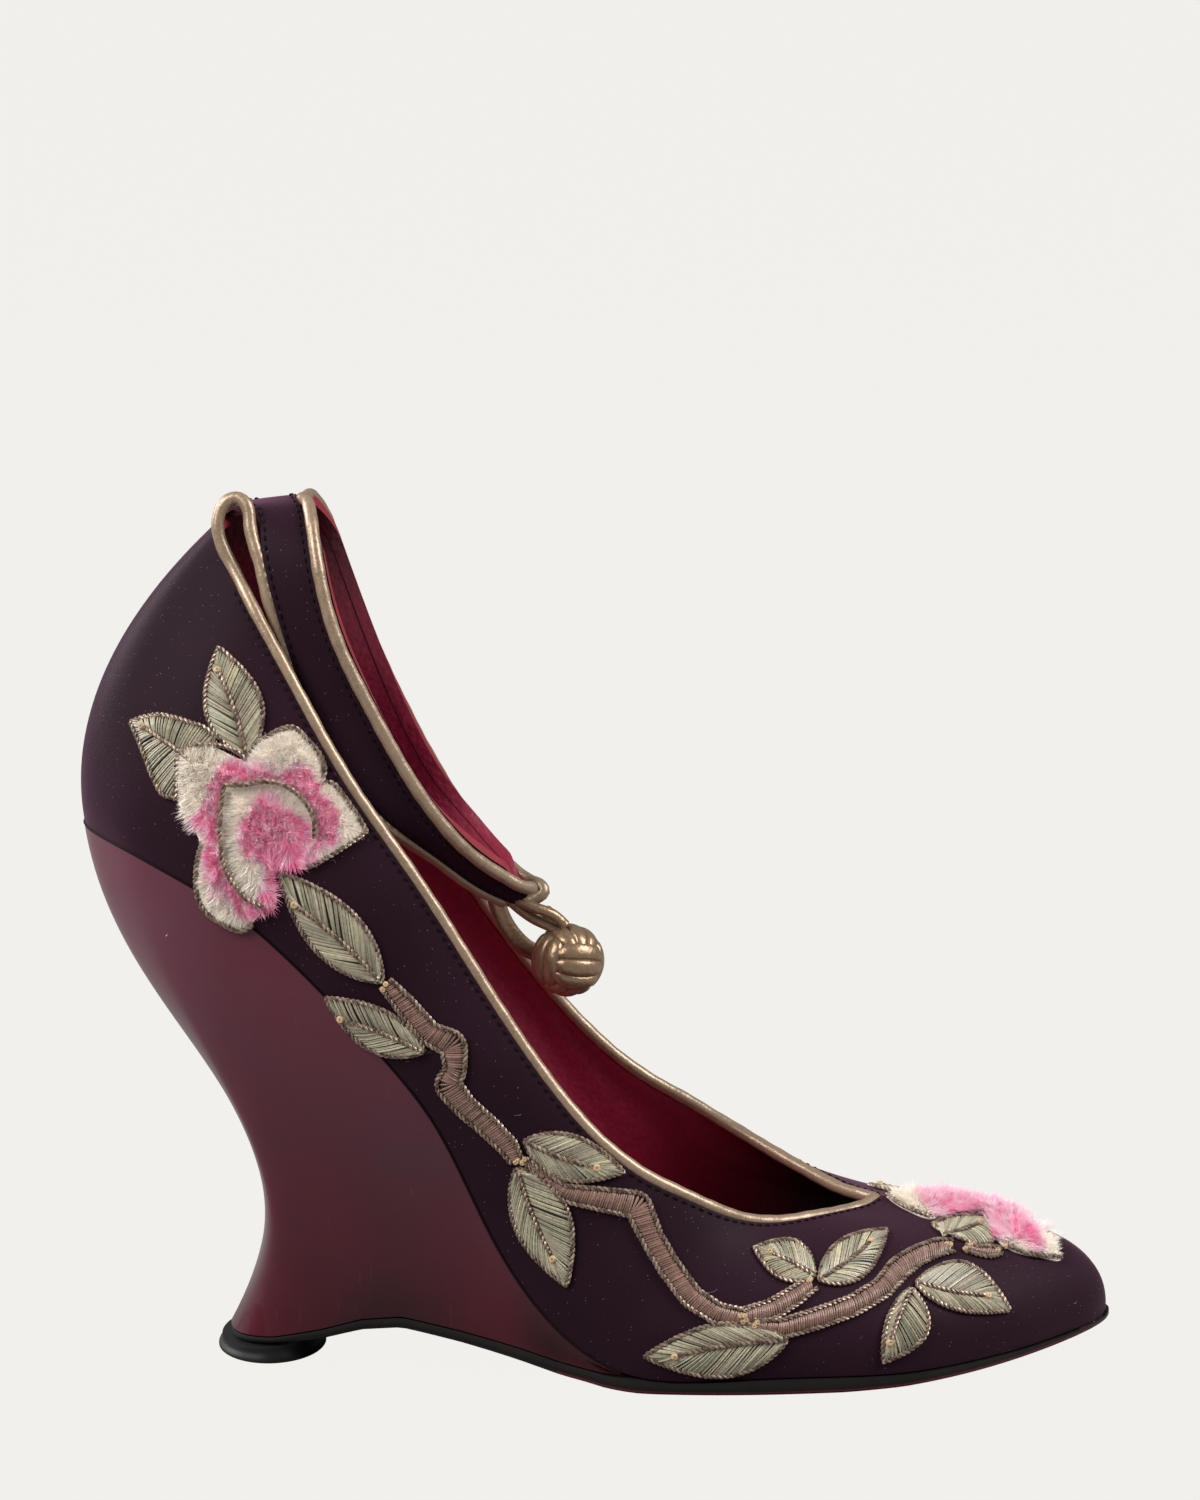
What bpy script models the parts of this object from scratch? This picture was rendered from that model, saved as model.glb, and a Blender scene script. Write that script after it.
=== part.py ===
"""Embroidered wedge pump with an ankle strap: a right shoe, about EU 36.5.

Sizes in the tables are millimetres. +X points to the toe, -Y to the outer side of the foot and +Z up.
The floor is z = 0 and the origin lies under the middle of the shoe.
"""
import math

import bpy
import numpy as np
from mathutils import Vector
from mathutils.bvhtree import BVHTree
from mathutils.geometry import delaunay_2d_cdt

# Driving dimensions, in millimetres
MM = 0.001              # one millimetre, in metres
GAP = 0.3               # room left between two pieces that meet
WALL = 1.8              # satin, backing and lining of the upper together
INSOLE_THICK = 1.8
EDGE_PROUD = 0.6        # how far the sole's edge stands out from the upper
EDGE_BEVEL = 0.8        # bevel along the sole's lower edge
LIFT_CENTRE = -66.9     # middle of the oval top lift along the shoe
LIFT_TOP_RADII = (10.2, 16.2)       # half length and half width of the top lift where it meets the sole
LIFT_FOOT_RADII = (10.9, 16.7)      # the same at the floor
LIFT_WAIST = 0.4        # share of the lift's height at which it starts to spread
LIFT_DRAWN_IN = 0.55    # how much of the way from its foot to its top it is drawn in there
PIPE_RADIUS = 1.3       # half the width of the gold piping
PIPE_SIDES = 6
PIPE_STEP = 4.2         # length of one straight stretch of the piping
PIPE_SAMPLES = 41       # points at which the piping's line is read off the strap and the topline
STRAP_THICK = 2.2
STRAP_LIP = 3.0         # how far the strap's upper edge stands out behind its piping
BUTTON_RADIUS = 7.1
BUTTON_CENTRE = (-6.7, -2.0, 79.7)
BUTTON_RELIEF = 0.45    # height of the strips woven round the button
BUTTON_STRIPS = 3       # strips in each of its six panels
BUTTON_FACES = 6        # faces along each side of a panel
STRIP_ROUND = 0.6       # how flat a strip is across: 1 is round, 0 is square
STEM_RADIUS = 1.65      # half the width of the doubled cord that holds the button
LOOP_RADIUS = 1.1       # half the width of the cord that goes round it
CORD_STEP = 1.9         # length of one straight stretch of these cords
CORD_SIDES = 6
LEAF_THICK = 0.9        # padded satin stitch
TWIG_THICK = 1.0
PAD_EDGE = 0.55         # share of that depth at the edge of a leaf or twig
PAD_SLOPE = 1.5         # distance from the edge at which the padding is full
LEAF_BELLY = 0.85       # places a leaf's widest part: 1 is half way
LEAF_FULLNESS = 0.9     # below 1 a leaf is fuller than a sine curve
PATCH_PITCH = 4.0       # distance between the points inside a leaf or twig
PATCH_ROOM = 0.45       # share of that distance kept clear along the outline
TWIG_STEP = 2.6         # distance between two points of a twig's outline
PILE_EDGE = 1.2         # depth of the flowers' pile at their edge, inside, and more on the inner petal
PILE_DEEP = 2.0
PILE_CROWN = 0.6
PETAL_RADIUS = 9.0      # inner petal
LOCK_DEPTH = 0.6        # how far the locks of the pile stand out, round a flower's edge and on its face
LOCK_PITCH = 3.2        # distance between two locks
LOCK_PHASE = 0.7        # shifts the locks off the middle of the flower
PROBE = 5.0             # height from which the room under a patch is measured
CLEAR_ROUNDS = 3        # times that a patch is raised until all of it is clear
SIDE_STEPS = 42         # stations along each side of the upper
WALL_STEPS = 9          # faces from the featherline up to the topline, outside
LINING_STEPS = 6        # the same on the lining side
FORM_AROUND = 4         # how many times finer the embroidery's ground is than the upper, around
FORM_UP = 2             # the same upwards and along the wedge
SMALL_AROUND = 0.4      # steps over which directions are taken: around, up and from row to row
SMALL_UP = 0.02
SMALL_ROW = 0.05
SHARP_EDGE = 40.0       # degrees at which two faces meet in a visible edge

# Sections of the upper from the back of the heel (row 0) to the tip of the toe (last row).
# foot: where the wall starts, on the featherline; top: where it ends, on the topline;
# lat and med are the y of the outer and the inner side; rise lifts the inner side's topline;
# low and high are the handles of the section's curve at its foot and at its top, out means sideways.
UPPER_COLUMNS = ("foot_x", "foot_z", "foot_lat", "foot_med", "top_x", "top_z", "top_lat", "top_med", "rise",
                 "low_x", "low_out", "low_z", "high_x", "high_out", "high_z")
UPPER_ROWS = (
    (-103.4, 108.0, 0.0, 0.0, -74.6, 169.4, 0.0, 0.0, 0.0, -4.0, 0.0, 24.0, -17.7, 0.0, -15.2),
    (-101.8, 107.5, -7.0, 7.0, -76.5, 167.3, -6.0, 6.0, 0.0, -3.6, 1.6, 22.0, -14.8, 2.4, -15.5),
    (-97.6, 106.5, -13.8, 13.6, -75.3, 163.2, -9.6, 9.6, 0.0, -2.5, 3.0, 19.0, -11.0, 4.0, -17.0),
    (-91.6, 104.7, -20.3, 20.0, -70.0, 154.0, -15.7, 15.5, 0.0, 0.0, 4.0, 16.0, -7.0, 5.0, -15.0),
    (-83.0, 100.9, -25.0, 24.4, -61.8, 140.0, -21.3, 20.8, 0.5, 4.0, 4.2, 13.0, -6.0, 5.0, -13.0),
    (-72.0, 94.5, -27.2, 26.0, -51.5, 122.0, -24.8, 24.0, 1.2, 6.0, 3.8, 9.5, -6.5, 4.5, -9.0),
    (-58.0, 82.0, -28.0, 26.0, -37.5, 101.6, -27.2, 26.2, 2.5, 6.5, 3.4, 7.0, -6.5, 4.0, -6.5),
    (-45.0, 67.9, -28.0, 25.0, -26.0, 83.6, -28.5, 27.0, 4.0, 6.3, 3.2, 5.8, -6.3, 3.8, -5.2),
    (-34.0, 54.0, -28.0, 24.0, -15.0, 66.8, -30.0, 28.0, 5.5, 6.0, 3.0, 5.2, -6.0, 4.0, -4.0),
    (-25.5, 37.5, -28.4, 24.0, -2.0, 50.5, -31.5, 29.5, 6.5, 6.5, 3.0, 6.5, -7.0, 4.2, -4.0),
    (-16.2, 20.7, -31.0, 25.5, 9.0, 41.7, -31.6, 30.4, 6.2, 6.5, 3.2, 9.0, -8.0, 5.0, -5.0),
    (-5.0, 9.0, -35.2, 28.5, 17.0, 37.4, -30.2, 30.2, 6.0, 4.5, 3.4, 12.0, -6.0, 6.5, -7.0),
    (8.0, 3.3, -38.0, 32.5, 24.0, 33.7, -27.4, 29.0, 6.0, 2.5, 3.5, 13.5, -3.0, 8.5, -8.0),
    (26.0, 3.2, -39.0, 36.5, 31.0, 31.0, -23.2, 26.3, 5.5, 1.0, 3.2, 14.0, 0.0, 11.5, -7.5),
    (44.0, 3.4, -37.5, 37.5, 37.3, 30.0, -18.5, 22.0, 4.0, 0.0, 3.0, 14.5, 4.0, 13.5, -6.5),
    (60.0, 3.3, -34.2, 35.5, 43.0, 29.8, -13.8, 17.5, 2.2, 0.5, 2.4, 15.0, 9.0, 14.0, -5.5),
    (74.0, 3.8, -27.3, 31.5, 47.5, 29.6, -9.5, 13.4, 1.0, 0.8, 2.0, 15.5, 14.0, 12.0, -4.5),
    (86.0, 4.3, -18.2, 25.5, 51.0, 29.4, -5.9, 9.8, 0.5, 0.8, 1.4, 15.8, 18.5, 9.0, -4.0),
    (96.0, 4.7, -7.6, 18.6, 54.3, 29.5, -2.6, 6.5, 0.2, 0.8, 0.8, 16.0, 22.0, 5.0, -3.7),
    (101.5, 5.0, 0.0, 12.8, 56.0, 29.8, 0.0, 4.0, 0.0, 0.6, 0.4, 16.2, 23.8, 2.5, -3.5),
    (103.4, 5.5, 6.5, 6.5, 56.9, 30.0, 2.0, 2.0, 0.0, 0.5, 0.0, 16.3, 24.3, 0.0, -3.5),
)
TOE_ROW = len(UPPER_ROWS) - 1

# Sections of the wedge, on the same rows as the upper, from the back to where it runs out at the ball.
# base: its lower edge; low and high are the handles of the section's curve at the featherline and the base.
WEDGE_COLUMNS = (
    "base_x", "base_lat", "base_med", "low_x", "low_out", "low_z", "high_x", "high_out", "high_z",
)
WEDGE_ROWS = (
    (-75.3, 0.0, 0.0, 6.4, 0.0, -46.0, 25.3, 0.0, 47.2),
    (-74.4, -6.4, 6.4, 6.2, -0.5, -45.0, 23.0, -0.6, 46.0),
    (-72.0, -11.2, 11.2, 6.0, -1.0, -43.0, 18.0, -1.2, 44.0),
    (-68.4, -14.4, 14.2, 5.0, -1.6, -40.0, 12.0, -1.8, 40.0),
    (-63.5, -16.2, 15.8, 4.0, -2.0, -36.0, 6.0, -2.2, 36.0),
    (-57.0, -17.2, 16.6, 3.0, -2.2, -32.0, 2.0, -2.0, 32.0),
    (-47.5, -18.6, 17.4, 2.0, -2.0, -26.0, 0.0, -1.5, 26.0),
    (-37.5, -20.5, 18.6, 1.5, -1.5, -20.0, 0.0, -1.0, 20.0),
    (-28.5, -23.2, 20.0, 1.0, -1.0, -15.0, 0.0, -0.6, 15.0),
    (-20.5, -26.0, 21.8, 1.0, -0.6, -9.5, 0.0, -0.3, 9.5),
    (-13.0, -29.4, 24.2, 0.7, -0.3, -4.5, 0.0, 0.0, 4.0),
    (-3.4, -33.8, 27.6, 0.3, -0.1, -1.5, 0.0, 0.0, 1.5),
    (8.0, -37.8, 32.3, 0.0, 0.0, -0.1, 0.0, 0.0, 0.1),
)
WEDGE_END = 11.72       # row at which the wedge has run out to a thin edge
WEDGE_STEPS = 26
WEDGE_LEVELS = 12

# Side profile of the sole: height of its underside and its thickness
SOLE_COLUMNS = ("x", "under", "thick")
SOLE_ROWS = (
    (-78.0, 2.4, 1.4),
    (-66.0, 3.4, 1.6),
    (-56.0, 5.2, 1.9),
    (-48.0, 7.4, 2.1),
    (-40.0, 8.2, 2.2),
    (-28.0, 6.2, 2.3),
    (-16.0, 3.7, 2.5),
    (-8.0, 1.9, 2.6),
    (0.0, 0.6, 2.7),
    (8.0, 0.0, 2.9),
    (20.0, 0.0, 2.9),
    (48.0, 0.0, 3.0),
    (60.0, 0.4, 2.6),
    (74.0, 1.4, 2.1),
    (86.0, 2.4, 1.6),
    (96.0, 3.1, 1.3),
    (104.0, 3.9, 1.2),
)
# Stations along the sole and the insole, on the rows of the upper's table
STATION_COLUMNS = ("from_row", "to_row", "steps")
SOLE_STATIONS = ((0.08, 5.0, 14), (5.0, 18.0, 28), (18.0, TOE_ROW - 0.05, 8))
INSOLE_STATIONS = ((0.3, 1.2, 2), (1.2, 18.6, 33), (18.6, 19.3, 2))
SOLE_TURN = (11.0, 12.0)        # rows over which the outline passes from the wedge's base to the featherline
SOLE_RISE = (11.6, 12.1)        # rows over which the sole's upper face rises to the upper
BEVEL_SHARE = 0.2       # widest bevel, as a share of the sole's width
LIFT_STEPS = 28         # stations round the top lift

# The ankle strap's outer arm from the middle of the back to its end in front: its upper and lower edge.
# The inner arm is its mirror image, but lies further ahead and lower by the last two columns.
STRAP_COLUMNS = ("top_x", "top_y", "top_z", "low_x", "low_y", "low_z", "ahead", "drop")
STRAP_ROWS = (
    (-60.8, 0.0, 172.6, -74.2, 0.0, 170.1, 0.0, 0.0),
    (-59.2, -6.2, 170.8, -68.2, -6.0, 170.6, 0.0, 0.0),
    (-57.6, -12.4, 165.2, -66.6, -11.4, 164.8, 1.4, 0.0),
    (-55.7, -15.8, 156.4, -64.4, -14.4, 155.2, 2.4, 0.0),
    (-52.6, -17.2, 146.4, -61.0, -15.6, 144.0, 2.7, 0.2),
    (-48.4, -17.8, 136.6, -56.8, -17.6, 132.8, 2.4, 0.4),
    (-43.0, -17.6, 125.6, -50.6, -18.8, 121.4, 2.1, 0.7),
    (-36.4, -16.2, 114.4, -42.8, -17.2, 111.6, 1.9, 1.0),
    (-28.6, -13.1, 105.6, -33.0, -11.6, 103.3, 1.3, 1.4),
    (-21.2, -8.4, 99.0, -25.0, -6.8, 96.4, 0.7, 1.6),
    (-14.6, -4.4, 94.3, -18.0, -3.4, 92.2, 0.9, 1.4),
)
STRAP_END = len(STRAP_ROWS) - 1.0
# Rows between which the upper edge stands out behind the piping, and the piping lies on the strap's outside:
# each starts at the first row, is full between the middle two and has ended at the last
LIP_ROWS = (1.0, 2.2, 8.9, 9.7)
BESIDE_ROWS = (0.2, 1.0, 9.6, 10.0)
STRAP_AXIS = (-50.0, 0.0, 0.0)      # a point of the upright line that the strap goes round
STRAP_STEPS = 30        # stations along each arm

# The piping's turn at the back, from the topline over into the strap's lower edge, on the outer side: x, y, z
ARCH_POINTS = (
    (-75.1, -9.2, 167.2),
    (-74.7, -8.4, 170.2),
    (-73.2, -8.0, 171.8),
    (-71.4, -8.1, 172.3),
    (-70.0, -8.9, 171.2),
    (-69.3, -10.0, 168.8),
)
ARCH_FROM = 2.3         # row of the upper at which the topline's piping starts to turn
ARCH_TO = 2.3           # row of the strap at which it has become the strap's piping

# Lines in x, y and z: the piping round the inner arm's end, the cord from the strap's end to the button,
# and the loop that goes round behind the button
STRAP_WRAP = ((-11.6, 4.0, 92.7), (-13.9, 3.1, 90.9), (-16.3, 2.5, 89.5))
STEM_POINTS = (
    (-15.8, -3.5, 92.7), (-13.4, -3.2, 90.5), (-10.9, -2.9, 88.9), (-9.5, -2.8, 88.1), (-8.7, -2.7, 87.2),
)
LOOP_POINTS = (
    (-18.2, 1.6, 87.4), (-17.2, 2.0, 84.8), (-15.2, 3.8, 81.4), (-12.4, 6.2, 79.2), (-9.0, 7.8, 79.6),
    (-8.0, 7.8, 82.6), (-9.6, 6.6, 85.8), (-11.6, 5.4, 88.0),
)

# The embroidery is laid out on a drawing of the outer side, seen from a little above.
# a runs to the toe and b up, in millimetres on the drawing, from the point that the eye looks at.
EYE_TILT = 10.0         # degrees above level
EYE_DISTANCE = 1100.0
EYE_TARGET = (-0.2, 0.0, 122.2)
PLAN_HEIGHT = 200.0     # height from which the plan is carried down onto the shoe
LEAF_COLUMNS = ("name", "base_a", "base_b", "tip_a", "tip_b", "left", "right")
LEAF_ROWS = (
    ("leaf_heel_top", -71.8, 0.6, -76.2, 20.8, 5.9, 5.8),
    ("leaf_quarter", -43.4, -46.4, -64.4, -24.1, 5.6, 5.4),
    ("leaf_seam", -37.6, -59.4, -55.2, -49.2, 5.2, 3.4),
    ("leaf_waist_front", -15.2, -78.0, 5.0, -84.6, 4.1, 5.2),
    ("leaf_waist_low", -16.6, -83.6, -6.6, -107.0, 5.8, 4.6),
    ("leaf_fork_back", 41.8, -104.8, 30.4, -99.6, 3.4, 5.0),
    ("leaf_fork_front", 45.0, -105.2, 57.6, -96.0, 4.0, 4.8),
    ("leaf_sole", 36.4, -118.6, 9.0, -121.2, 5.4, 3.6),
    ("leaf_toe_front", 62.8, -106.8, 82.0, -112.2, 6.8, 3.0),
    ("leaf_toe_low", 61.0, -109.8, 56.4, -122.2, 5.8, 2.3),
)
INNER_LEAF = ("leaf_throat_inner", 65.4, 10.0, 54.6, 13.6, 2.6, 2.6)     # in x and y, as seen from above
LEAF_STEPS = 6          # points along each edge of a leaf
# Small leaves that the flowers hide in part: the outline of what shows
TUCKED_LEAVES = {
    "leaf_heel_back": ("leaf", (
        (-77.0, 1.9), (-80.6, 2.1), (-85.4, 1.4), (-86.8, -4.2), (-86.0, -7.8), (-86.5, -9.3),
        (-89.0, -6.0), (-91.6, 0.8), (-93.6, 5.6), (-88.4, 7.0), (-82.8, 5.8), (-77.2, 2.8),
    )),
    "leaf_toe_bud": ("leaf", (
        (66.4, -95.0), (68.1, -96.5), (72.0, -98.0), (76.3, -99.3), (78.4, -98.3), (78.6, -96.2),
        (77.6, -94.1), (74.5, -93.4), (70.8, -93.6),
    )),
    "bract_toe": ("twig", (
        (72.6, -99.9), (75.4, -101.1), (78.4, -101.8), (80.6, -100.6), (79.2, -99.2), (76.2, -100.2),
    )),
}
TWIG_COLUMNS = ("a", "b", "half_width")
TWIGS = {
    "twig_waist": (
        (-40.6, -49.4, 1.5), (-37.6, -52.8, 1.9), (-33.6, -56.6, 2.0), (-29.4, -58.9, 2.9),
        (-29.0, -63.0, 2.0), (-30.0, -66.4, 2.7), (-26.8, -69.6, 2.1), (-23.6, -73.4, 2.0),
        (-20.2, -77.0, 1.8), (-18.4, -79.4, 1.5),
    ),
    "twig_vamp": (
        (-4.0, -89.6, 1.8), (2.0, -90.6, 2.2), (7.0, -91.6, 2.7), (9.0, -97.2, 2.0), (12.0, -103.0, 2.0),
        (16.6, -108.2, 2.0), (20.6, -111.2, 2.0), (26.0, -113.1, 1.8), (29.6, -113.4, 1.5),
    ),
    "twig_fork": ((31.4, -111.9, 1.6), (36.2, -110.4, 1.8), (40.6, -107.8, 1.6)),
    "twig_toe": (
        (37.8, -116.0, 1.4), (43.0, -114.1, 1.8), (48.4, -112.0, 1.9), (53.6, -109.6, 1.9),
        (57.4, -106.6, 2.0), (59.6, -102.6, 2.3), (63.0, -100.8, 1.9), (66.8, -99.8, 1.7), (70.4, -99.6, 1.2),
    ),
}
HEEL_FLOWER = (
    (-85.0, -4.4), (-84.0, 0.2), (-80.6, 0.8), (-76.2, 0.2), (-71.0, -1.8), (-68.0, 2.2), (-64.0, 3.6),
    (-60.6, 4.2), (-58.4, 2.2), (-55.8, -2.2), (-55.4, -5.4), (-52.4, -7.8), (-49.4, -12.2),
    (-47.0, -16.2), (-52.0, -20.0), (-60.0, -23.8), (-66.4, -21.6), (-64.8, -29.0), (-65.4, -32.0),
    (-67.2, -32.2), (-68.8, -33.8), (-71.2, -35.6), (-75.4, -34.6), (-78.4, -32.0), (-80.4, -28.2),
    (-80.6, -23.8), (-79.8, -19.6), (-81.8, -14.4), (-84.0, -10.8),
)
HEEL_FLOWER_CENTRE = (-66.6, -15.0)
# The toe flower lies across the top of the vamp and is laid out from above, in x and y
TOE_FLOWER = (
    (58.0, 1.2), (60.0, -2.0), (62.7, -4.4), (66.4, -6.0), (69.0, -3.4), (71.6, -1.2), (75.5, 1.5),
    (78.4, 2.3), (81.0, 1.6), (81.2, -3.8), (80.8, -7.2), (82.0, -9.0), (85.1, -8.8), (89.0, -6.7),
    (93.0, -3.6), (91.4, -1.2), (88.4, 1.2), (87.0, 4.6), (87.4, 9.4), (85.2, 13.8), (80.6, 14.4),
    (77.6, 18.6), (71.0, 19.4), (66.8, 16.0), (67.0, 9.6), (62.0, 5.0),
)
TOE_FLOWER_CENTRE = (76.6, 6.0)

# Colours, roughness and metal of each finish
FINISHES = {
    "satin": ((0.030, 0.014, 0.026), 0.45, 0.0),
    "lacquer": ((0.070, 0.018, 0.026), 0.18, 0.0),
    "rubber": ((0.010, 0.010, 0.010), 0.55, 0.0),
    "edge": ((0.011, 0.010, 0.010), 0.40, 0.0),
    "lining": ((0.160, 0.011, 0.031), 0.50, 0.0),
    "gold": ((0.430, 0.330, 0.190), 0.40, 0.6),
    "pile": ((0.700, 0.560, 0.500), 0.90, 0.0),
    "leaf": ((0.300, 0.330, 0.220), 0.60, 0.0),
    "twig": ((0.205, 0.122, 0.098), 0.60, 0.0),
}


def column(rows, columns, name):
    """One named column of a table, as an array."""
    return np.array([row[columns.index(name)] for row in rows], float)


def spline(knots, values, closed=False):
    """A smooth curve through the rows of values, as a function of the knots' parameter."""
    knots = np.asarray(knots, float)
    values = np.asarray(values, float)
    if closed:
        values = np.vstack([values, values[:1]])
    count = len(values)
    step = np.diff(knots)
    system = np.zeros((count, count))
    right = np.zeros_like(values)
    slope = np.diff(values, axis=0) / step[:, None]
    for i in range(1, count - 1):
        system[i, i - 1:i + 2] = step[i - 1], 2 * (step[i - 1] + step[i]), step[i]
        right[i] = 6 * (slope[i] - slope[i - 1])
    if closed:
        system[0, 0], system[0, 1], system[0, -2] = 2 * (step[-1] + step[0]), step[0], step[-1]
        right[0] = 6 * (slope[0] - slope[-1])
        system[-1, 0], system[-1, -1] = 1.0, -1.0
    else:
        system[0, 0] = system[-1, -1] = 1.0
    bend = np.linalg.solve(system, right)
    span = knots[-1] - knots[0]

    def curve(at):
        at = np.atleast_1d(np.asarray(at, float))
        if closed:
            at = knots[0] + np.mod(at - knots[0], span)
        i = np.clip(np.searchsorted(knots, at, side="right") - 1, 0, count - 2)
        h = step[i][:, None]
        after = (at - knots[i])[:, None]
        before = h - after
        return (bend[i] * before ** 3 + bend[i + 1] * after ** 3) / (6 * h) + (
            (values[i] / h - bend[i] * h / 6) * before + (values[i + 1] / h - bend[i + 1] * h / 6) * after)

    return curve


def unit(vectors):
    """Vectors scaled to length one."""
    vectors = np.asarray(vectors, float)
    return vectors / np.maximum(np.linalg.norm(vectors, axis=-1, keepdims=True), 1e-9)


def smooth_step(low, high, value):
    """0 below low, 1 above high, and an easy slope between them."""
    share = np.clip((np.asarray(value, float) - low) / (high - low), 0.0, 1.0)
    return share * share * (3 - 2 * share)


def finish(name):
    """The Principled material of a finish, made once."""
    material = bpy.data.materials.get(name)
    if material is None:
        colour, roughness, metallic = FINISHES[name]
        material = bpy.data.materials.new(name)
        material.use_nodes = True
        shader = material.node_tree.nodes["Principled BSDF"]
        shader.inputs["Base Color"].default_value = (*colour, 1.0)
        shader.inputs["Roughness"].default_value = roughness
        shader.inputs["Metallic"].default_value = metallic
    return material


def add_piece(name, points, faces, finish_name):
    """A mesh object from points in millimetres."""
    mesh = bpy.data.meshes.new(name)
    mesh.from_pydata([tuple(point) for point in np.asarray(points) * MM], [], faces)
    mesh.validate()
    mesh.shade_smooth()
    mesh.set_sharp_from_angle(angle=math.radians(SHARP_EDGE))
    mesh.materials.append(finish(finish_name))
    piece = bpy.data.objects.new(name, mesh)
    bpy.context.collection.objects.link(piece)
    return piece


def loft(name, rings, finish_name, closed=False):
    """A solid through rings of equal count, counter-clockwise seen from the far end, with flat ends."""
    rings = np.asarray(rings)
    count, size = rings.shape[:2]
    faces = []
    for i in range(count if closed else count - 1):
        j = (i + 1) % count
        for k in range(size):
            m = (k + 1) % size
            faces.append((i * size + k, i * size + m, j * size + m, j * size + k))
    if not closed:
        faces.append(tuple(range(size - 1, -1, -1)))
        faces.append(tuple((count - 1) * size + k for k in range(size)))
    return add_piece(name, rings.reshape(-1, 3), faces, finish_name)


def upper_sections():
    """The four control points of every section round the shoe, and the distance of each row along it."""
    col = {name: column(UPPER_ROWS, UPPER_COLUMNS, name) for name in UPPER_COLUMNS}

    def side(y_name, outward, rise):
        foot = np.stack([col["foot_x"], col["foot_" + y_name], col["foot_z"]], 1)
        top = np.stack([col["top_x"], col["top_" + y_name], col["top_z"] + rise * col["rise"]], 1)
        low = np.stack([col["low_x"], outward * col["low_out"], col["low_z"]], 1)
        high = np.stack([col["high_x"], outward * col["high_out"], col["high_z"]], 1)
        return np.hstack([foot, foot + low, top + high, top])

    ring = np.vstack([side("lat", -1, 0), side("med", 1, 1)[-2:0:-1]])
    around = np.vstack([ring, ring[:1]])
    middle = (around[:, 0:3] + around[:, 9:12]) / 2
    knots = np.concatenate([[0.0], np.cumsum(np.linalg.norm(np.diff(middle, axis=0), axis=1))])
    return spline(knots, ring, closed=True), knots


section, ring_knots = upper_sections()
RING_LENGTH = ring_knots[-1]


def outer_at(row):
    """Place round the ring of a row of the table on the outer side of the foot."""
    return np.interp(row, np.arange(TOE_ROW + 1), ring_knots[:TOE_ROW + 1])


def inner_at(row):
    """The same on the inner side of the foot, as a place before the back of the heel."""
    back = ring_knots[TOE_ROW:][::-1] - RING_LENGTH
    return np.interp(row, np.arange(TOE_ROW + 1), back)


def upper_point(around, up):
    """A point of the upper's outside: around the ring, and up from featherline (0) to topline (1)."""
    around, up = np.broadcast_arrays(np.asarray(around, float), np.asarray(up, float))
    control = section(around.ravel()).reshape(around.shape + (4, 3))
    t = up[..., None]
    return ((1 - t) ** 3 * control[..., 0, :] + 3 * t * (1 - t) ** 2 * control[..., 1, :]
            + 3 * t * t * (1 - t) * control[..., 2, :] + t ** 3 * control[..., 3, :])


def upper_frame(around, up):
    """Outward normal and upward direction of the upper at a point."""
    up = np.asarray(up, float)
    above = np.minimum(up + SMALL_UP, 1.0)
    below = np.maximum(up - SMALL_UP, 0.0)
    along = upper_point(around + SMALL_AROUND, up) - upper_point(around - SMALL_AROUND, up)
    rising = upper_point(around, above) - upper_point(around, below)
    return unit(np.cross(along, rising)), unit(rising)


def sheet_faces(count, size, start=0, closed=False):
    """Faces of a sheet of points, in rows that each run from low to high."""
    faces = []
    for i in range(count if closed else count - 1):
        here, there = start + i * size, start + (i + 1) % count * size
        faces += [(here + k, there + k, there + k + 1, here + k + 1) for k in range(size - 1)]
    return faces


def shell(name, outside, inside, finish_name):
    """A closed wall between an outside and an inside sheet that both run round a ring."""
    count, high = outside.shape[:2]
    low = inside.shape[1]
    points = np.vstack([outside.reshape(-1, 3), inside.reshape(-1, 3)])
    start = count * high
    faces = sheet_faces(count, high, closed=True)
    faces += [face[::-1] for face in sheet_faces(count, low, start, closed=True)]
    for i in range(count):
        j = (i + 1) % count
        here, there = start + i * low, start + j * low
        faces.append((i * high + high - 1, j * high + high - 1, there + low - 1, here + low - 1))
        faces.append((j * high, i * high, here, there))
    return add_piece(name, points, faces, finish_name)


def make_upper():
    """The satin upper: one wall, open at the collar and throat and underneath."""
    toe = ring_knots[TOE_ROW]
    around = np.concatenate([np.linspace(0.0, toe, SIDE_STEPS, endpoint=False),
                             np.linspace(toe, RING_LENGTH, SIDE_STEPS, endpoint=False)])[:, None]
    sheets = []
    for steps, depth in ((WALL_STEPS, 0.0), (LINING_STEPS, WALL)):
        up = np.linspace(0.0, 1.0, steps + 1)[None, :]
        normal, _ = upper_frame(around, np.broadcast_to(up, (len(around), steps + 1)))
        sheets.append(upper_point(around, up) - normal * depth)
    return shell("upper", sheets[0], sheets[1], "satin")


def bed_square(row):
    """Direction square to the foot bed at a row, taken from the side profile of the featherline."""
    rows = np.arange(TOE_ROW + 1)
    x = column(UPPER_ROWS, UPPER_COLUMNS, "foot_x")
    z = column(UPPER_ROWS, UPPER_COLUMNS, "foot_z")
    profile = spline(rows, np.stack([x, z], 1))
    ahead = profile(np.asarray(row) + SMALL_ROW) - profile(np.asarray(row) - SMALL_ROW)
    return unit(np.stack([-ahead[:, 1], np.zeros(len(ahead)), ahead[:, 0]], 1))


def sole_under(x):
    """Height of the sole's underside."""
    return np.interp(x, column(SOLE_ROWS, SOLE_COLUMNS, "x"), column(SOLE_ROWS, SOLE_COLUMNS, "under"))


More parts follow.
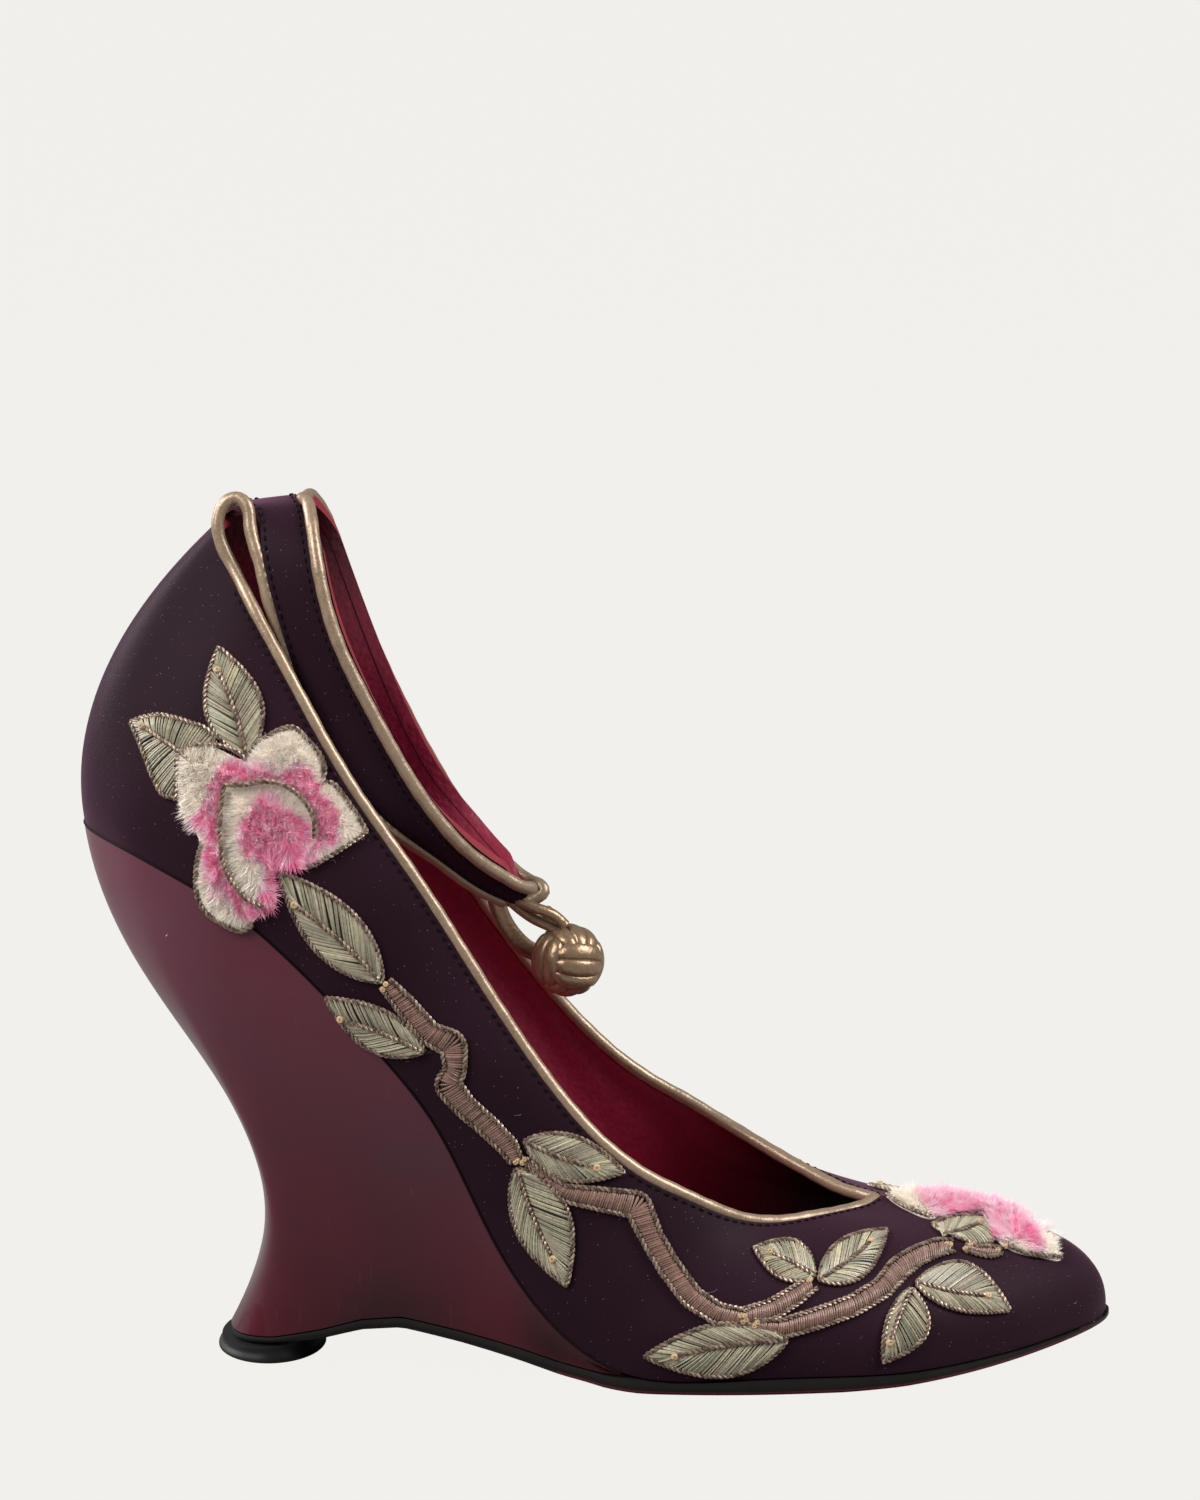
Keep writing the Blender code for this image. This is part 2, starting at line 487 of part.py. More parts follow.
def sole_top(x):
    """Height of the sole's upper face."""
    thick = np.interp(x, column(SOLE_ROWS, SOLE_COLUMNS, "x"), column(SOLE_ROWS, SOLE_COLUMNS, "thick"))
    return sole_under(x) + thick


wedge_row = spline(np.arange(len(WEDGE_ROWS)), np.array(WEDGE_ROWS))


def wedge_edge(row, y_name):
    """A point of the wedge's lower outline."""
    values = wedge_row(row)
    x = values[:, WEDGE_COLUMNS.index("base_x")]
    y = values[:, WEDGE_COLUMNS.index("base_" + y_name)]
    return np.stack([x, y, sole_top(x) + GAP], 1)


def wedge_side(rows, y_name, outward):
    """The wedge's wall on one side, as a sheet of rows by levels."""
    place = outer_at(rows) if y_name == "lat" else inner_at(rows)
    values = wedge_row(rows)
    part = {name: values[:, i] for i, name in enumerate(WEDGE_COLUMNS)}
    top = upper_point(place, 0.0) - bed_square(rows) * GAP
    base = wedge_edge(rows, y_name)
    low = top + np.stack([part["low_x"], outward * part["low_out"], part["low_z"]], 1)
    high = base + np.stack([part["high_x"], outward * part["high_out"], part["high_z"]], 1)
    t = np.linspace(0.0, 1.0, WEDGE_LEVELS + 1)[None, :, None]
    return ((1 - t) ** 3 * top[:, None] + 3 * t * (1 - t) ** 2 * low[:, None]
            + 3 * t * t * (1 - t) * high[:, None] + t ** 3 * base[:, None])


def make_wedge():
    """The lacquered wedge: a wall on each side, joined across the top, the base and the front."""
    rows = np.linspace(0.0, WEDGE_END, WEDGE_STEPS + 1)
    outer = wedge_side(rows, "lat", -1)
    inner = wedge_side(rows[1:], "med", 1)
    levels = WEDGE_LEVELS + 1
    points = np.vstack([outer.reshape(-1, 3), inner.reshape(-1, 3)])

    def lat(i, k):
        return i * levels + k

    def med(i, k):
        return lat(0, k) if i == 0 else (WEDGE_STEPS + i) * levels + k

    faces = []
    last = WEDGE_LEVELS
    for i in range(WEDGE_STEPS):
        for k in range(last):
            faces.append((lat(i, k), lat(i, k + 1), lat(i + 1, k + 1), lat(i + 1, k)))
            faces.append((med(i, k), med(i + 1, k), med(i + 1, k + 1), med(i, k + 1)))
        across = (lat(i, 0), lat(i + 1, 0), med(i + 1, 0), med(i, 0))
        under = (med(i, last), med(i + 1, last), lat(i + 1, last), lat(i, last))
        faces.append(across[:3] if i == 0 else across)
        faces.append(under[1:] if i == 0 else under)
    front = WEDGE_STEPS
    for k in range(last):
        faces.append((lat(front, k), lat(front, k + 1), med(front, k + 1), med(front, k)))
    return add_piece("wedge", points, faces, "lacquer")


def stations(table):
    """Rows at which a piece along the shoe has its sections."""
    runs = [np.linspace(start, stop, steps, endpoint=False) for start, stop, steps in table]
    return np.concatenate(runs + [[table[-1][STATION_COLUMNS.index("to_row")]]])


def sole_edge(rows, y_name):
    """A point of the sole's outline: the wedge's base behind the ball, the featherline ahead of it."""
    place = outer_at(rows) if y_name == "lat" else inner_at(rows)
    base = wedge_edge(np.minimum(rows, len(WEDGE_ROWS) - 1), y_name)
    foot = upper_point(place, 0.0)
    ahead = upper_point(place + SMALL_AROUND, 0.0) - upper_point(place - SMALL_AROUND, 0.0)
    out = unit(np.stack([ahead[:, 1], -ahead[:, 0], np.zeros(len(rows))], 1))
    share = smooth_step(*SOLE_TURN, rows)[:, None]
    return base * (1 - share) + foot * share + out * EDGE_PROUD * share


def make_outsole():
    """The thin sole from the back of the heel to the toe, with a bevelled edge."""
    rows = stations(SOLE_STATIONS)
    share = smooth_step(*SOLE_RISE, rows)
    edges = []
    for y_name, place in (("lat", outer_at(rows)), ("med", inner_at(rows))):
        edge = sole_edge(rows, y_name)
        under = sole_under(edge[:, 0])
        top = (1 - share) * sole_top(edge[:, 0]) + share * (upper_point(place, 0.0)[:, 2] - GAP)
        edges.append((edge, top, under))
    (lat, lat_top, lat_under), (med, med_top, med_under) = edges
    across = unit((med - lat) * (1, 1, 0))
    bevel = np.minimum(EDGE_BEVEL, np.linalg.norm(med - lat, axis=1) * BEVEL_SHARE)

    def at(edge, inset, height):
        spot = edge + across * np.reshape(inset, (-1, 1))
        return np.column_stack([spot[:, :2], height])

    rings = np.stack([at(lat, 0, lat_under + bevel), at(lat, bevel, lat_under), at(med, -bevel, med_under),
                      at(med, 0, med_under + bevel), at(med, 0, med_top), at(lat, 0, lat_top)], 1)
    return loft("outsole", rings, "edge")


def make_insole():
    """The covered board on which the foot stands, inside the upper."""
    rows = stations(INSOLE_STATIONS)
    square = bed_square(rows)
    edges = []
    for place in (outer_at(rows), inner_at(rows)):
        normal, _ = upper_frame(place, np.zeros(len(rows)))
        edges.append(upper_point(place, 0.0) - normal * (WALL + 3 * GAP))
    lat, med = edges
    rings = np.stack([lat, med, med + square * INSOLE_THICK, lat + square * INSOLE_THICK], 1)
    return loft("insole", rings, "lining")


def make_top_lift():
    """The oval rubber piece under the heel, spread towards the floor and cut to the slope of the sole."""
    turn = np.linspace(0.0, 2 * math.pi, LIFT_STEPS, endpoint=False)

    def oval(radii):
        x, y = LIFT_CENTRE + radii[0] * np.cos(turn), radii[1] * np.sin(turn)
        return np.stack([x, y, np.zeros(LIFT_STEPS)], 1)

    foot, top = oval(LIFT_FOOT_RADII), oval(LIFT_TOP_RADII)
    top[:, 2] = sole_under(top[:, 0]) - GAP
    waist = foot * (1 - LIFT_DRAWN_IN) + top * LIFT_DRAWN_IN
    waist[:, 2] = top[:, 2] * LIFT_WAIST
    return loft("top_lift", np.stack([foot, waist, top]), "rubber")


def between(places, rows):
    """0 outside four rows of a table, 1 between the middle two, and easy slopes from one to the other."""
    return smooth_step(rows[0], rows[1], places) * (1 - smooth_step(rows[2], rows[3], places))


def strap_edges(places, inner):
    """Upper and lower edge of an arm of the strap at rows of its table."""
    values = spline(np.arange(len(STRAP_ROWS)), np.array(STRAP_ROWS))(places)
    top, low = values[:, 0:3].copy(), values[:, 3:6].copy()
    if inner:
        for edge in (top, low):
            edge[:, 0] += values[:, STRAP_COLUMNS.index("ahead")]
            edge[:, 1] *= -1
            edge[:, 2] -= values[:, STRAP_COLUMNS.index("drop")]
    return top + unit(top - low) * STRAP_LIP * between(places, LIP_ROWS)[:, None], low


def both_arms(steps):
    """The strap's edges from the end of its outer arm round the back to the end of its inner arm."""
    places = np.linspace(0.0, STRAP_END, steps + 1)
    outer = strap_edges(places[::-1], False)
    inner = strap_edges(places[1:], True)
    return np.vstack([outer[0], inner[0]]), np.vstack([outer[1], inner[1]])


def make_strap():
    """The ankle strap, one band open in front."""
    top, low = both_arms(STRAP_STEPS)
    along = unit(np.gradient((top + low) / 2, axis=0))
    out = unit(np.cross(along, top - low)) * STRAP_THICK / 2
    rings = np.stack([low + out, top + out, top - out, low - out], 1)
    return loft("strap", rings[:, ::-1], "satin")


def even_points(points, spacing):
    """Points at even distances on a smooth curve through the given ones."""
    points = np.asarray(points, float)
    knots = np.concatenate([[0.0], np.cumsum(np.linalg.norm(np.diff(points, axis=0), axis=1))])
    count = max(2, int(round(knots[-1] / spacing)))
    return spline(knots, points)(np.linspace(0.0, knots[-1], count + 1))


def tube(name, points, radius, sides, finish_name):
    """A round solid along a row of points, with flat ends."""
    along = unit(np.gradient(points, axis=0))
    side = unit(np.cross(along[0], (0.0, 0.0, 1.0)))
    turn = np.linspace(0.0, 2 * math.pi, sides, endpoint=False)
    rings = []
    for point, ahead in zip(points, along):
        side = unit(side - ahead * np.dot(side, ahead))
        other = np.cross(ahead, side)
        rings.append([point + radius * (math.cos(t) * side + math.sin(t) * other) for t in turn])
    return loft(name, rings, finish_name)


def topline_path(rows, inner):
    """Middle of the piping that sits on the upper's top edge."""
    place = inner_at(rows) if inner else outer_at(rows)
    normal, _ = upper_frame(place, np.ones(len(rows)))
    along = unit(upper_point(place + SMALL_AROUND, 1.0) - upper_point(place - SMALL_AROUND, 1.0))
    return upper_point(place, 1.0) - normal * WALL / 2 + np.cross(normal, along) * (PIPE_RADIUS + GAP)


def strap_path(places, inner, lower):
    """Middle of the piping that sits on the strap's lower edge, or on its outside below the upper edge."""
    top, low = strap_edges(places, inner)
    room = PIPE_RADIUS + GAP
    if lower:
        return low + unit(low - top) * room
    middle = (top + low) / 2
    out = unit(np.cross(top - low, np.gradient(middle, axis=0)))
    out *= np.sign((out * (middle - STRAP_AXIS) * (1, 1, 0)).sum(1))[:, None]
    above = room - STRAP_LIP * between(places, LIP_ROWS)
    beside = (STRAP_THICK / 2 + room) * between(places, BESIDE_ROWS)
    return top + unit(top - low) * above[:, None] + out * beside[:, None]


def make_collar_piping():
    """Piping along one arm's lower edge, over into the topline, and round to the other arm's end."""
    ends = np.linspace(ARCH_TO, STRAP_END, PIPE_SAMPLES)
    topline = np.linspace(ARCH_FROM, TOE_ROW, PIPE_SAMPLES)
    arch = np.array(ARCH_POINTS)
    outer = np.vstack([strap_path(ends[::-1], False, True), arch[::-1], topline_path(topline, False)])
    back = topline[:-1][::-1]
    inner = np.vstack([topline_path(back, True), arch * (1, -1, 1), strap_path(ends, True, True)])
    path = even_points(np.vstack([outer, inner]), PIPE_STEP)
    return tube("collar_piping", path, PIPE_RADIUS, PIPE_SIDES, "gold")


def make_strap_piping():
    """Piping along the strap's upper edge and round the end of its inner arm."""
    places = np.linspace(0.0, STRAP_END, PIPE_SAMPLES)
    path = np.vstack([strap_path(places[::-1], False, False), strap_path(places[1:], True, False)])
    path = even_points(path, PIPE_STEP)
    turn = even_points(np.vstack([path[-1:], STRAP_WRAP]), PIPE_RADIUS)
    return tube("strap_piping", np.vstack([path, turn[1:]]), PIPE_RADIUS, PIPE_SIDES, "gold")


def make_button():
    """The ball button: six panels of three leather strips, each panel square to its neighbours."""
    points, faces, index = [], [], {}

    def corner(axis, sign, s, t):
        ray = np.zeros(3)
        ray[axis] = sign
        ray[(axis + 1) % 3] = math.tan(s * math.pi / 4)
        ray[(axis + 2) % 3] = math.tan(t * math.pi / 4)
        strip = abs(math.sin(BUTTON_STRIPS / 2 * math.pi * (t + 1))) ** STRIP_ROUND
        swell = BUTTON_RELIEF * strip * (1 - s ** 4)
        spot = unit(ray) * (BUTTON_RADIUS - BUTTON_RELIEF + swell) + np.array(BUTTON_CENTRE)
        key = tuple(np.round(spot, 4))
        if key not in index:
            index[key] = len(points)
            points.append(spot)
        return index[key]

    for axis in range(3):
        for sign in (-1, 1):
            for i in range(BUTTON_FACES):
                for j in range(BUTTON_FACES):
                    s = [-1 + 2 * (i + k) / BUTTON_FACES for k in (0, 1)]
                    t = [-1 + 2 * (j + k) / BUTTON_FACES for k in (0, 1)]
                    face = [corner(axis, sign, s[0], t[0]), corner(axis, sign, s[1], t[0]),
                            corner(axis, sign, s[1], t[1]), corner(axis, sign, s[0], t[1])]
                    faces.append(tuple(face if sign > 0 else face[::-1]))
    return add_piece("knot_button", points, faces, "gold")


def make_cords():
    """The button's stem and the loop behind it."""
    tube("button_stem", even_points(STEM_POINTS, CORD_STEP), STEM_RADIUS, CORD_SIDES, "gold")
    tube("button_loop", even_points(LOOP_POINTS, CORD_STEP), LOOP_RADIUS, CORD_SIDES, "gold")


def drawing_ray(spot):
    """Eye point and direction of the line of sight through a point of the side drawing."""
    tilt = math.radians(EYE_TILT)
    target = Vector(EYE_TARGET)
    eye = target + EYE_DISTANCE * Vector((0.0, -math.cos(tilt), math.sin(tilt)))
    point = target + spot[0] * Vector((1, 0, 0)) + spot[1] * Vector((0, math.sin(tilt), math.cos(tilt)))
    return eye, (point - eye).normalized()


def plan_ray(spot):
    """Start and direction of the plumb line through a point of the plan."""
    return Vector((spot[0], spot[1], PLAN_HEIGHT)), Vector((0, 0, -1))


def raise_clear(spots, normals, triangles, surface):
    """Heights over the shoe at which the faces of a patch stay clear of it."""
    heights = np.full(len(spots), GAP)
    shares = np.array(((0.5, 0.5, 0.0), (0.0, 0.5, 0.5), (0.5, 0.0, 0.5), (1 / 3, 1 / 3, 1 / 3)))
    for _ in range(CLEAR_ROUNDS):
        for face in triangles:
            corners = spots[face] + normals[face] * heights[face, None]
            out = Vector(normals[face].sum(0)).normalized()
            for middle in shares @ corners:
                reach = surface.ray_cast(Vector(middle) + out * PROBE, -out)[3]
                heights[face] += max(0.0, GAP + PROBE - reach)
    return heights


def applique(name, outline, surface, ray, thick, finish_name, spacing=PATCH_PITCH):
    """A raised patch: an outline carried onto the shoe along the drawing's rays, and thickened outwards.

    thick gives the depth at a point of the drawing from the point and its distance to the outline.
    """
    outline = np.asarray(outline, float)
    count = len(outline)
    following = np.roll(outline, -1, axis=0)

    def edge_distance(spot):
        step = following - outline
        share = np.clip(((spot - outline) * step).sum(1) / (step * step).sum(1), 0, 1)[:, None]
        return np.linalg.norm(outline + step * share - spot, axis=1).min()

    def inside(spot):
        over = (outline[:, 1] > spot[1]) != (following[:, 1] > spot[1])
        slope = (following[:, 0] - outline[:, 0]) / np.where(over, following[:, 1] - outline[:, 1], 1.0)
        return np.count_nonzero(over & (spot[0] < outline[:, 0] + slope * (spot[1] - outline[:, 1]))) % 2 == 1

    drawn = list(outline)
    low, high = outline.min(0), outline.max(0)
    for a in np.arange(low[0] + spacing / 2, high[0], spacing):
        for b in np.arange(low[1] + spacing / 2, high[1], spacing):
            spot = np.array((a, b))
            if inside(spot) and edge_distance(spot) > spacing * PATCH_ROOM:
                drawn.append(spot)
    edges = [(i, (i + 1) % count) for i in range(count)]
    flat, _, triangles, _, _, _ = delaunay_2d_cdt([Vector(spot) for spot in drawn], edges, [], 1, 1e-5)
    hits = [surface.ray_cast(*ray(spot)) for spot in flat]
    spots = np.array([hit[0] for hit in hits])
    normals = np.array([hit[1] for hit in hits])
    depths = np.array([thick(np.array(spot), edge_distance(np.array(spot))) for spot in flat])
    heights = raise_clear(spots, normals, triangles, surface)
    lower = spots + normals * heights[:, None]
    upper = lower + normals * depths[:, None]
    size = len(flat)
    faces = []
    sides = set()
    for face in triangles:
        faces.append(tuple(size + i for i in face))
        faces.append(tuple(reversed(face)))
        sides.update(zip(face, face[1:] + face[:1]))
    faces += [(i, j, size + j, size + i) for i, j in sorted(sides) if (j, i) not in sides]
    return add_piece(name, np.vstack([lower, upper]), faces, finish_name)


def leaf_outline(row):
    """Outline of a leaf: two bowed edges that meet in a point at the base and at the tip."""
    part = dict(zip(LEAF_COLUMNS, row))
    base = np.array((part["base_a"], part["base_b"]))
    axis = np.array((part["tip_a"], part["tip_b"])) - base
    left = unit(np.array((-axis[1], axis[0])))
    share = np.linspace(0.0, 1.0, LEAF_STEPS + 1)
    bow = np.sin(math.pi * share ** LEAF_BELLY) ** LEAF_FULLNESS
    one = base + share[:, None] * axis + (bow * part["left"])[:, None] * left
    other = base + share[:, None] * axis - (bow * part["right"])[:, None] * left
    return np.vstack([other[:-1], one[:0:-1]])


def twig_outline(rows):
    """Outline of a twig that follows its middle line and its half width."""
    rows = np.array(rows)
    knots = np.concatenate([[0.0], np.cumsum(np.linalg.norm(np.diff(rows[:, :2], axis=0), axis=1))])
    count = int(knots[-1] / TWIG_STEP)
    line = spline(knots, rows)(np.linspace(0.0, knots[-1], count + 1))
    along = unit(np.gradient(line[:, :2], axis=0))
    half_width = line[:, TWIG_COLUMNS.index("half_width")]
    left = np.stack([-along[:, 1], along[:, 0]], 1) * half_width[:, None]
    return np.vstack([line[:, :2] - left, (line[:, :2] + left)[::-1]])


def flower_outline(points):
    """A flower's outline with short locks of pile along it."""
    around = even_points(np.vstack([points, points[:1]]), LOCK_PITCH / 2)[:-1]
    along = np.roll(around, -1, axis=0) - np.roll(around, 1, axis=0)
    out = unit(np.stack([along[:, 1], -along[:, 0]], 1))
    return around + out * (np.arange(len(around)) % 2)[:, None] * LOCK_DEPTH


def padded(depth):
    """Depth of padded stitching, which is full a little way in from its edge."""
    return lambda spot, distance: depth * (PAD_EDGE + (1 - PAD_EDGE) * min(distance / PAD_SLOPE, 1.0))


def pile(centre):
    """Depth of a flower's pile: shorter round the edge, highest on the inner petal, in locks."""
    def depth(spot, distance):
        inner = 1.0 - smooth_step(0.5 * PETAL_RADIUS, PETAL_RADIUS, np.linalg.norm(spot - centre))
        inside = smooth_step(0.0, LOCK_PITCH, distance)
        lock = LOCK_DEPTH / 2 * np.prod(np.sin(math.pi * (spot - centre) / LOCK_PITCH + LOCK_PHASE))
        return PILE_EDGE + inside * (PILE_DEEP - PILE_EDGE + PILE_CROWN * inner + lock)

    return depth


def make_embroidery():
    """Leaves, twigs and flowers on the upper."""
    surface = forms_under_embroidery()
    for row in LEAF_ROWS:
        applique(row[0], leaf_outline(row), surface, drawing_ray, padded(LEAF_THICK), "leaf")
    applique(INNER_LEAF[0], leaf_outline(INNER_LEAF), surface, plan_ray, padded(LEAF_THICK), "leaf")
    for name, (finish_name, outline) in TUCKED_LEAVES.items():
        applique(name, outline, surface, drawing_ray, padded(LEAF_THICK), finish_name)
    for name, rows in TWIGS.items():
        applique(name, twig_outline(rows), surface, drawing_ray, padded(TWIG_THICK), "twig")
    for name, outline, centre, ray in (("heel_flower", HEEL_FLOWER[::-1], HEEL_FLOWER_CENTRE, drawing_ray),
                                       ("toe_flower", TOE_FLOWER, TOE_FLOWER_CENTRE, plan_ray)):
        applique(name, flower_outline(outline), surface, ray, pile(centre), "pile", LOCK_PITCH)


def forms_under_embroidery():
    """A search tree over the outside of the upper and, below it without a seam, the wedge's outer side."""
    around = np.linspace(0.0, RING_LENGTH, FORM_AROUND * SIDE_STEPS, endpoint=False)[:, None]
    upper = upper_point(around, np.linspace(0.0, 1.0, FORM_UP * WALL_STEPS + 1)[None, :])
    rows = np.linspace(0.0, WEDGE_END, FORM_UP * WEDGE_STEPS + 1)
    side = wedge_side(rows, "lat", -1)[:, ::-1]
    wedge = np.concatenate([side, upper_point(outer_at(rows), 0.0)[:, None]], 1)
    points = np.vstack([upper.reshape(-1, 3), wedge.reshape(-1, 3)])
    faces = sheet_faces(upper.shape[0], upper.shape[1], closed=True)
    faces += sheet_faces(wedge.shape[0], wedge.shape[1], start=upper.shape[0] * upper.shape[1])
    return BVHTree.FromPolygons([Vector(point) for point in points], faces)


def clear_scene():
    """Start from an empty scene."""
    for item in list(bpy.data.objects):
        bpy.data.objects.remove(item, do_unlink=True)


def main():
    """Make every piece of the shoe."""
    clear_scene()
    make_upper()
    make_wedge()
    make_outsole()
    make_insole()
    make_top_lift()
    make_strap()
    make_collar_piping()
    make_strap_piping()
    make_button()
    make_cords()
    make_embroidery()


main()
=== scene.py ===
import math

import bpy
import numpy as np
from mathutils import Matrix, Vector
from mathutils.bvhtree import BVHTree
from mathutils.geometry import delaunay_2d_cdt


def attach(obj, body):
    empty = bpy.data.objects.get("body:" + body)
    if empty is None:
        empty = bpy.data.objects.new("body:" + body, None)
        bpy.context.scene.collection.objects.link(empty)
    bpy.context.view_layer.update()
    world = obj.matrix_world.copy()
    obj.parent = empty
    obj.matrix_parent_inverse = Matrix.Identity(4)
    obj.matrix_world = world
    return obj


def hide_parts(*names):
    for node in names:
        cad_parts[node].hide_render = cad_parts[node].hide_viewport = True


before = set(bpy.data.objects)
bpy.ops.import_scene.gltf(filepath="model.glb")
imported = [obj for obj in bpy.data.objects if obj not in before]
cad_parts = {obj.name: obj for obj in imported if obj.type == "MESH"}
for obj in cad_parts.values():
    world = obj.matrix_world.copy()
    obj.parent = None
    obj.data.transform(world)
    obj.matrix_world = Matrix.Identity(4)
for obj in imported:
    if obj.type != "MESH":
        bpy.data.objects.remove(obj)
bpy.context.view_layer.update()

mm = 0.001
dice = np.random.default_rng(11)
print("frame loaded,", len(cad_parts), "nodes")


# curves and small sums

def tone(red, green, blue):
    # a screen colour, 0 to 255, as linear light
    value = np.array((red, green, blue)) / 255
    linear = np.where(value <= 0.04045, value / 12.92, ((value + 0.055) / 1.055) ** 2.4)
    return tuple(float(part) for part in linear)


def unit(vectors):
    vectors = np.asarray(vectors, float)
    return vectors / np.maximum(np.linalg.norm(vectors, axis=-1, keepdims=True), 1e-9)


def smoothStep(low, high, value):
    share = np.clip((np.asarray(value, float) - low) / (high - low), 0.0, 1.0)
    return share * share * (3 - 2 * share)


def between(value, limits):
    # 0 beyond the outer two of four limits, 1 between the inner two
    return smoothStep(limits[0], limits[1], value) * (1 - smoothStep(limits[2], limits[3], value))


def spline(knots, values, closed=False):
    # a smooth curve through the rows of values; natural at its ends or closed on itself
    knots = np.asarray(knots, float)
    values = np.asarray(values, float)
    if closed:
        values = np.vstack([values, values[:1]])
    count = len(values)
    step = np.diff(knots)
    system = np.zeros((count, count))
    right = np.zeros_like(values)
    slope = np.diff(values, axis=0) / step[:, None]
    for i in range(1, count - 1):
        system[i, i - 1:i + 2] = step[i - 1], 2 * (step[i - 1] + step[i]), step[i]
        right[i] = 6 * (slope[i] - slope[i - 1])
    if closed:
        system[0, 0], system[0, 1], system[0, -2] = 2 * (step[-1] + step[0]), step[0], step[-1]
        right[0] = 6 * (slope[0] - slope[-1])
        system[-1, 0], system[-1, -1] = 1.0, -1.0
    else:
        system[0, 0] = system[-1, -1] = 1.0
    bend = np.linalg.solve(system, right)
    span = knots[-1] - knots[0]

    def curve(at):
        at = np.atleast_1d(np.asarray(at, float))
        if closed:
            at = knots[0] + np.mod(at - knots[0], span)
        i = np.clip(np.searchsorted(knots, at, side="right") - 1, 0, count - 2)
        h = step[i][:, None]
        after = (at - knots[i])[:, None]
        before = h - after
        return (bend[i] * before ** 3 + bend[i + 1] * after ** 3) / (6 * h) + (
            (values[i] / h - bend[i] * h / 6) * before + (values[i + 1] / h - bend[i + 1] * h / 6) * after)

    return curve


def runLength(points):
    return np.concatenate([[0.0], np.cumsum(np.linalg.norm(np.diff(points, axis=0), axis=1))])


def alongLine(at, knots, points):
    # points at given lengths along a line of straight runs
    return np.stack([np.interp(at, knots, points[:, i]) for i in range(points.shape[1])], 1)


def blend(first, second, share):
    return np.array(first) * (1 - share) + np.array(second) * share


def evenPoints(points, spacing, smooth=True):
    # points at even distances along a curve, or along straight runs
    points = np.asarray(points, float)
    knots = runLength(points)
    count = max(2, int(round(knots[-1] / spacing)))
    at = np.linspace(0.0, knots[-1], count + 1)
    if smooth:
        return spline(knots, points)(at)
    return alongLine(at, knots, points)


def ripple(spots, pitch, seed):
    # a soft wandering value of about -1 to 1 over a plane, made of a few waves
    turns = np.random.default_rng(seed).uniform(0, 2 * math.pi, (6, 2))
    total = np.zeros(len(spots))
    for turn, phase in turns:
        way = np.array((math.cos(turn), math.sin(turn)))
        total += np.sin(spots @ way * 2 * math.pi / (pitch * (0.7 + 0.1 * phase)) + phase)
    return total / 3.0


# meshes from arrays

class Bundle:
    # points, faces and thread colours of one piece, gathered from many small forms

    def __init__(self):
        self.points, self.tints, self.faces, self.kinds = [], [], [], []
        self.size = 0

    def add(self, points, faceSets, kind=0, tint=(1, 1, 1)):
        points = np.asarray(points, float).reshape(-1, 3)
        for faces in faceSets:
            faces = np.asarray(faces, int)
            if len(faces):
                self.faces.append(faces + self.size)
                self.kinds.append(np.full(len(faces), kind))
        self.points.append(points)
        self.tints.append(np.broadcast_to(np.asarray(tint, float), points.shape))
        self.size += len(points)

    def make(self, name, materials, nodes=(), sharp=50.0, span=None):
        mesh = bpy.data.meshes.new(name)
        points = np.vstack(self.points)
        corners = np.concatenate([faces.ravel() for faces in self.faces])
        sizes = np.concatenate([np.full(len(faces), faces.shape[1]) for faces in self.faces])
        mesh.vertices.add(len(points))
        mesh.vertices.foreach_set("co", (points * mm).astype(np.float32).ravel())
        mesh.loops.add(len(corners))
        mesh.loops.foreach_set("vertex_index", corners.astype(np.int32))
        mesh.polygons.add(len(sizes))
        starts = np.concatenate([[0], np.cumsum(sizes)[:-1]])
        mesh.polygons.foreach_set("loop_start", starts.astype(np.int32))
        mesh.polygons.foreach_set("material_index", np.concatenate(self.kinds).astype(np.int32))
        mesh.update(calc_edges=True)
        tints = np.hstack([np.vstack(self.tints), np.ones((len(points), 1))])
        layer = mesh.attributes.new("tint", "FLOAT_COLOR", "POINT")
        layer.data.foreach_set("color", tints.astype(np.float32).ravel())
        if span is not None:
            layer = mesh.attributes.new("span", "FLOAT_VECTOR", "CORNER")
            layer.data.foreach_set("vector", span(corners).astype(np.float32).ravel())
        mesh.shade_smooth()
        mesh.set_sharp_from_angle(angle=math.radians(sharp))
        for material in materials:
            mesh.materials.append(material)
        piece = bpy.data.objects.new(name + "_dressed", mesh)
        bpy.context.collection.objects.link(piece)
        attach(piece, "root")
        for node in nodes:
            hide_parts(node)
        return piece


def sheetFaces(count, size, start=0, closed=False):
    # faces of a sheet of points whose rows each run from low to high
    i = np.arange(count if closed else count - 1)[:, None]
    k = np.arange(size - 1)[None, :]
    here, there = start + i * size + k, start + (i + 1) % count * size + k
    return np.stack([here, there, there + 1, here + 1], -1).reshape(-1, 4)


def loftFaces(count, size, closed=False):
    # faces round a row of rings, with a flat face at each end
    i = np.arange(count if closed else count - 1)[:, None]
    k = np.arange(size)[None, :]
    m = (k + 1) % size
    j = (i + 1) % count
    sides = np.stack([i * size + k, i * size + m, j * size + m, j * size + k], -1).reshape(-1, 4)
    if closed:
        return [sides]
    return [sides, np.arange(size)[::-1][None], ((count - 1) * size + np.arange(size))[None]]


